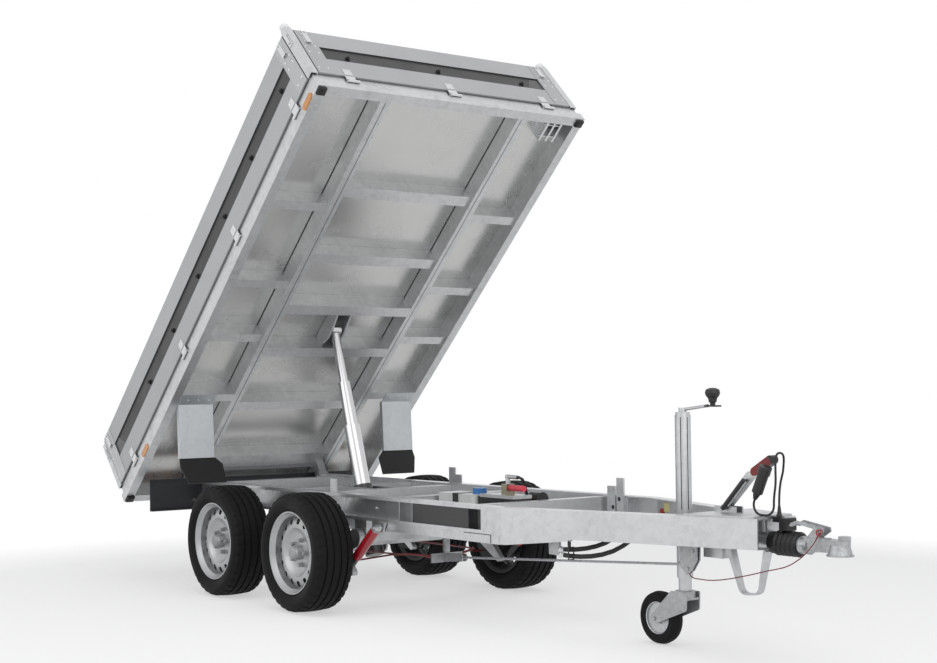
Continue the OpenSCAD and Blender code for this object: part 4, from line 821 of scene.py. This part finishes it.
finish("corner_posts", "zinc_beam", "lens")
paint("corner_posts", 1, BED, lambda c, n: c.x > BED_L - 0.05 and c.z > 0.4165)

# Bolts that sit where a ray meets a node
trees = {}


def hit(node, space, start, direction):
    """Place and normal where a ray from outside meets a CAD node, or nothing."""
    if node not in trees:
        mesh = nodes[node].data
        trees[node] = BVHTree.FromPolygons([v.co for v in mesh.vertices], [p.vertices[:] for p in mesh.polygons])
    place, normal, _, _ = trees[node].ray_cast(space @ Vector(start), space.to_3x3() @ Vector(direction))
    return place, normal


def bolt_row(name, body, space, rows, size=0.011):
    shape = Shape()
    for node, start, direction in rows:
        place, normal = hit(node, space, start, direction)
        if place is not None:
            shape.bolt(place - normal * 0.0002, normal, size)
    shape.make(name, body, ["latch"], Matrix.Identity(4), bevel=0.0005)


rows = [("lamp_board", (-1.3, y, 0.490), (1, 0, 0)) for y in (-0.44, -0.26, 0.26, 0.44)]
for side, beam in ((1, "rail_left"), (-1, "rail_right")):
    for x in (-0.905, -0.120, 0.600):
        rows.append((beam, (x, side * 1.0, 0.455), (0, -side, 0)))
bolt_row("chassis_bolts", "chassis", CHASSIS, rows, 0.008)
rows = []
for side in (-1, 1):
    for v in (0.545, 0.600, 0.655):
        rows.append(("mudguards", (0.765, side * v, -0.4), (0, 0, 1)))
bolt_row("bed_bolts", "bed", BED, rows, 0.005)

# Painted shade: near-black lines down the beams under the bed, along the middle of each beam's bottom and where its
# edges meet the floor, and between the right under-beam and its gusset
BEAM_V = 0.385
BEAM_HALF = 0.025
shape = Shape()
for side in (-1, 1):
    v = side * (BEAM_V - 0.004)
    shape.box((0.050, BED_L - 0.050), (v - 0.0013, v + 0.0013), (-0.0005, 0.0003))
    for edge in (-1, 1):
        v = side * BEAM_V + edge * (BEAM_HALF + 0.0012)
        shape.box((0.050, BED_L - 0.050), (v - 0.0016, v + 0.0016), (0.0830, 0.0868))
shape.make("beam_shade_lines", "bed", ["drum"], BED)
# Near-black lines along the gusset's edges on the under-beam: painted shade between the parts.
shape = Shape()
for side in (-1, 1):
    y = sorted((side * 0.4157, side * 0.4170))
    shape.box((1.300, 1.478), y, (0.4005, 0.4036))
    shape.box((1.4745, 1.478), y, (0.369, 0.4005))
shape.make("gusset_shade_lines", "chassis", ["drum"], CHASSIS)

# Coupling end: gland of the lead; a strap over the pump tank
shape = Shape()
shape.box((2.562, 2.590), (-0.0105, 0.0215), (0.4965, 0.5150), 0)
shape.lathe((2.576, 0.010, 0.5148), (0, 0, 1), [(0, 0.0112), (0.007, 0.0112), (0.009, 0.0095)], 6, 0)
shape.lathe((2.576, 0.010, 0.5235), (0, 0, 1), [(0, 0.0082), (0.006, 0.0074), (0.012, 0.0066), (0.020, 0.0058),
                                              (0.028, 0.0050)], 20, 0)
shape.make("lead_gland", "chassis", ["plastic"], CHASSIS, bevel=0.0008)
shape = Shape()
shape.box((0.834, 0.874), (-0.1262, -0.1238), (0.4365, 0.5212), 0)
shape.box((0.834, 0.874), (0.0038, 0.0062), (0.4365, 0.5212), 0)
shape.box((0.834, 0.874), (-0.1262, 0.0062), (0.5188, 0.5212), 0)
shape.make("tank_strap", "chassis", ["plastic"], CHASSIS, bevel=0.0006)


# Fittings and tie of the brake hoses, seal ring on the coupling's cable
shape = Shape()
for z in (0.364, 0.343):
    shape.lathe((1.7762, -0.317, z), (1, 0, 0), [(0, 0.0125), (0.010, 0.0125), (0.011, 0.0108), (0.026, 0.0104)], 6, 0)
shape.box((1.836, 1.841), (-0.3275, -0.3045), (0.3275, 0.3305), 1)
shape.box((1.836, 1.841), (-0.3275, -0.3045), (0.3735, 0.3765), 1)
for y in ((-0.3300, -0.3270), (-0.3050, -0.3020)):
    shape.box((1.836, 1.841), y, (0.3275, 0.3765), 1)
shape.box((1.834, 1.843), (-0.3300, -0.3200), (0.3765, 0.4020), 1)
shape.make("hose_fittings", "chassis", ["latch", "plastic"], CHASSIS, bevel=0.0005)
# Tags, punched holes drawn as painted shade, and seams
shape = Shape()
for x, z, reach, index in ((1.640, 0.474, (0.020, 0.0185), 0), (1.602, 0.457, (0.018, 0.010), 1)):
    place, _ = hit("rail_left", CHASSIS, (x, 0.2, z), (0, 1, 0))
    if place is None:
        place, _ = hit("drawbar_left", CHASSIS, (x, 0.2, z), (0, 1, 0))
    if place is not None:
        y = place.y
        shape.box((x - reach[0], x + reach[0]), (y - 0.0035, y + 0.0015), (z - reach[1], z + reach[1]), index)
shape.make("rail_tags", "chassis", ["yellow", "red"], CHASSIS, bevel=0.001)
# Near-black discs where holes are punched through the chassis: painted shade inside the holes.
shape = Shape()
for x, z in ((1.349, 0.462), (1.388, 0.498)):
    shape.lathe((x, 0.3461, z), (0, -1, 0), [(0, 0.0095), (0.0006, 0.0090)], 20)
shape.make("lug_hole_shade", "chassis", ["drum"], CHASSIS)
shape = Shape()
for degrees in (-12, -62, 118, 168):
    a = math.radians(degrees)
    out = Vector((math.cos(a), math.sin(a), 0))
    across = Vector((-out.y, out.x, 0)) * 0.0016
    axis = Vector((JOCKEY_X, 0, 0))
    shape.loft([[axis + out * 0.0290 - across + Vector((0, 0, z)), axis + out * 0.0290 + across + Vector((0, 0, z)),
                 axis + out * 0.0303 + across + Vector((0, 0, z)), axis + out * 0.0303 - across + Vector((0, 0, z))]
                for z in (0.5160, 0.8600)])
shape.make("post_seams", "jockey_leg", ["drum"], CHASSIS)
shape = Shape()
ring = []
for k in range(16):
    a = 2 * math.pi * k / 16
    centre = Vector((2.7815 + 0.0105 * math.cos(a), -0.0275, 0.474 + 0.0105 * math.sin(a)))
    out = Vector((math.cos(a), 0, math.sin(a)))
    ring.append([centre + 0.0024 * (out * math.cos(b) + Vector((0, 1, 0)) * math.sin(b))
                 for b in (2 * math.pi * j / 8 for j in range(8))])
made = [shape.ring(r) for r in ring]
for one, two in zip(made, made[1:] + made[:1]):
    shape.bridge(one, two, 0)
shape.make("cable_ring", "chassis", ["red"], CHASSIS)


def rear_lamp_lenses():
    """Ribbed red, clear and amber lenses on dark housings, in the place of the plain lamps."""
    low, high = (Vector(v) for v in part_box("rear_lamps"))
    shape = Shape()
    for side in (-1, 1):
        outer = high.y
        shape.box((high.x - 0.006, high.x), sorted((side * (outer - 0.250), side * outer)), (low.z, high.z), 0)
        for start, width, index in ((0.010, 0.074, 1), (0.086, 0.060, 1), (0.148, 0.030, 2), (0.180, 0.060, 3)):
            y0, steps = outer - start, 12
            outline = [(high.x - 0.006, side * (y0 - width)), (high.x - 0.006, side * y0)]
            for k in range(2 * steps + 1):
                outline.append((low.x + (0.0012 if k % 2 else 0.0001), side * (y0 - 0.002 - (width - 0.004) * k / (2 * steps))))
            shape.prism(outline, "z", (low.z + 0.006, high.z - 0.006), index)
    piece = shape.make("rear_lamp_lenses", "chassis", ["plastic", "lamp", "lens", "amber"], Matrix.Identity(4),
                       smooth=20)
    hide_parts("rear_lamps")


rear_lamp_lenses()


# Stage: pale floor that runs out to white, white world for the camera, soft lamps
def white_far_floor():
    size = 60
    mesh = bpy.data.meshes.new("floor")
    mesh.from_pydata([(-size, -size, 0), (size, -size, 0), (size, size, 0), (-size, size, 0)], [], [(0, 1, 2, 3)])
    floor = bpy.data.objects.new("floor", mesh)
    floor.location.z = -0.0005
    bpy.context.scene.collection.objects.link(floor)
    mat = bpy.data.materials.new("floor")
    mat.use_nodes = True
    tree = mat.node_tree
    tree.nodes.clear()
    out = tree.nodes.new("ShaderNodeOutputMaterial")
    lit = tree.nodes.new("ShaderNodeBsdfDiffuse")
    lit.inputs["Color"].default_value = (0.96, 0.96, 0.96, 1)
    glow = tree.nodes.new("ShaderNodeEmission")
    glow.inputs["Color"].default_value = (1, 1, 1, 1)
    glow.inputs["Strength"].default_value = 1.0
    path = tree.nodes.new("ShaderNodeLightPath")
    coords = tree.nodes.new("ShaderNodeTexCoord")
    length = tree.nodes.new("ShaderNodeVectorMath")
    length.operation = "LENGTH"
    link(tree, coords.outputs["Object"], length.inputs[0])
    far = remap(tree, length.outputs["Value"], 0, 1, 1.7, 4.0)
    seen = math_node(tree, "MAXIMUM", path.outputs["Is Camera Ray"], path.outputs["Is Glossy Ray"])
    share = math_node(tree, "MULTIPLY", math_node(tree, "MAXIMUM", far, 0.52), seen)
    mix = tree.nodes.new("ShaderNodeMixShader")
    link(tree, share, mix.inputs["Fac"])
    link(tree, lit.outputs["BSDF"], mix.inputs[1])
    link(tree, glow.outputs["Emission"], mix.inputs[2])
    link(tree, mix.outputs["Shader"], out.inputs["Surface"])
    mesh.materials.append(mat)


def white_world():
    world = bpy.data.worlds.new("world")
    world.use_nodes = True
    tree = world.node_tree
    tree.nodes.clear()
    out = tree.nodes.new("ShaderNodeOutputWorld")
    ambient = tree.nodes.new("ShaderNodeBackground")
    ambient.inputs["Color"].default_value = (0.96, 0.98, 1.0, 1)
    ambient.inputs["Strength"].default_value = 0.40
    seen = tree.nodes.new("ShaderNodeBackground")
    seen.inputs["Color"].default_value = (1, 1, 1, 1)
    path = tree.nodes.new("ShaderNodeLightPath")
    mix = tree.nodes.new("ShaderNodeMixShader")
    shown = math_node(tree, "MAXIMUM", path.outputs["Is Camera Ray"],
                      math_node(tree, "MAXIMUM", path.outputs["Is Glossy Ray"], path.outputs["Is Transmission Ray"]))
    link(tree, shown, mix.inputs["Fac"])
    link(tree, ambient.outputs["Background"], mix.inputs[1])
    link(tree, seen.outputs["Background"], mix.inputs[2])
    link(tree, mix.outputs["Shader"], out.inputs["Surface"])
    bpy.context.scene.world = world


def soft_lamp(name, place, target, size, power, in_mirrors=True):
    data = bpy.data.lights.new(name, "AREA")
    data.shape = "RECTANGLE"
    data.size, data.size_y = size
    data.energy = power
    lamp = bpy.data.objects.new(name, data)
    lamp.location = place
    lamp.visible_glossy = in_mirrors
    lamp.rotation_euler = (Vector(target) - Vector(place)).to_track_quat("-Z", "Y").to_euler()
    bpy.context.scene.collection.objects.link(lamp)


white_far_floor()
white_world()
# Metal shows the white world over it, and the ceiling lamp on top of that would clip the load floor
soft_lamp("ceiling", (0.5, -0.5, 5.0), (0, 0, 0), (7, 6), 120, in_mirrors=False)
soft_lamp("front", (5.2, -1.2, 2.8), (0, 0, 0.9), (5, 4), 70)
soft_lamp("left_side", (-0.5, -5.0, 2.6), (0, 0, 1.0), (5, 3), 45)

bpy.context.scene.view_settings.view_transform = "Standard"
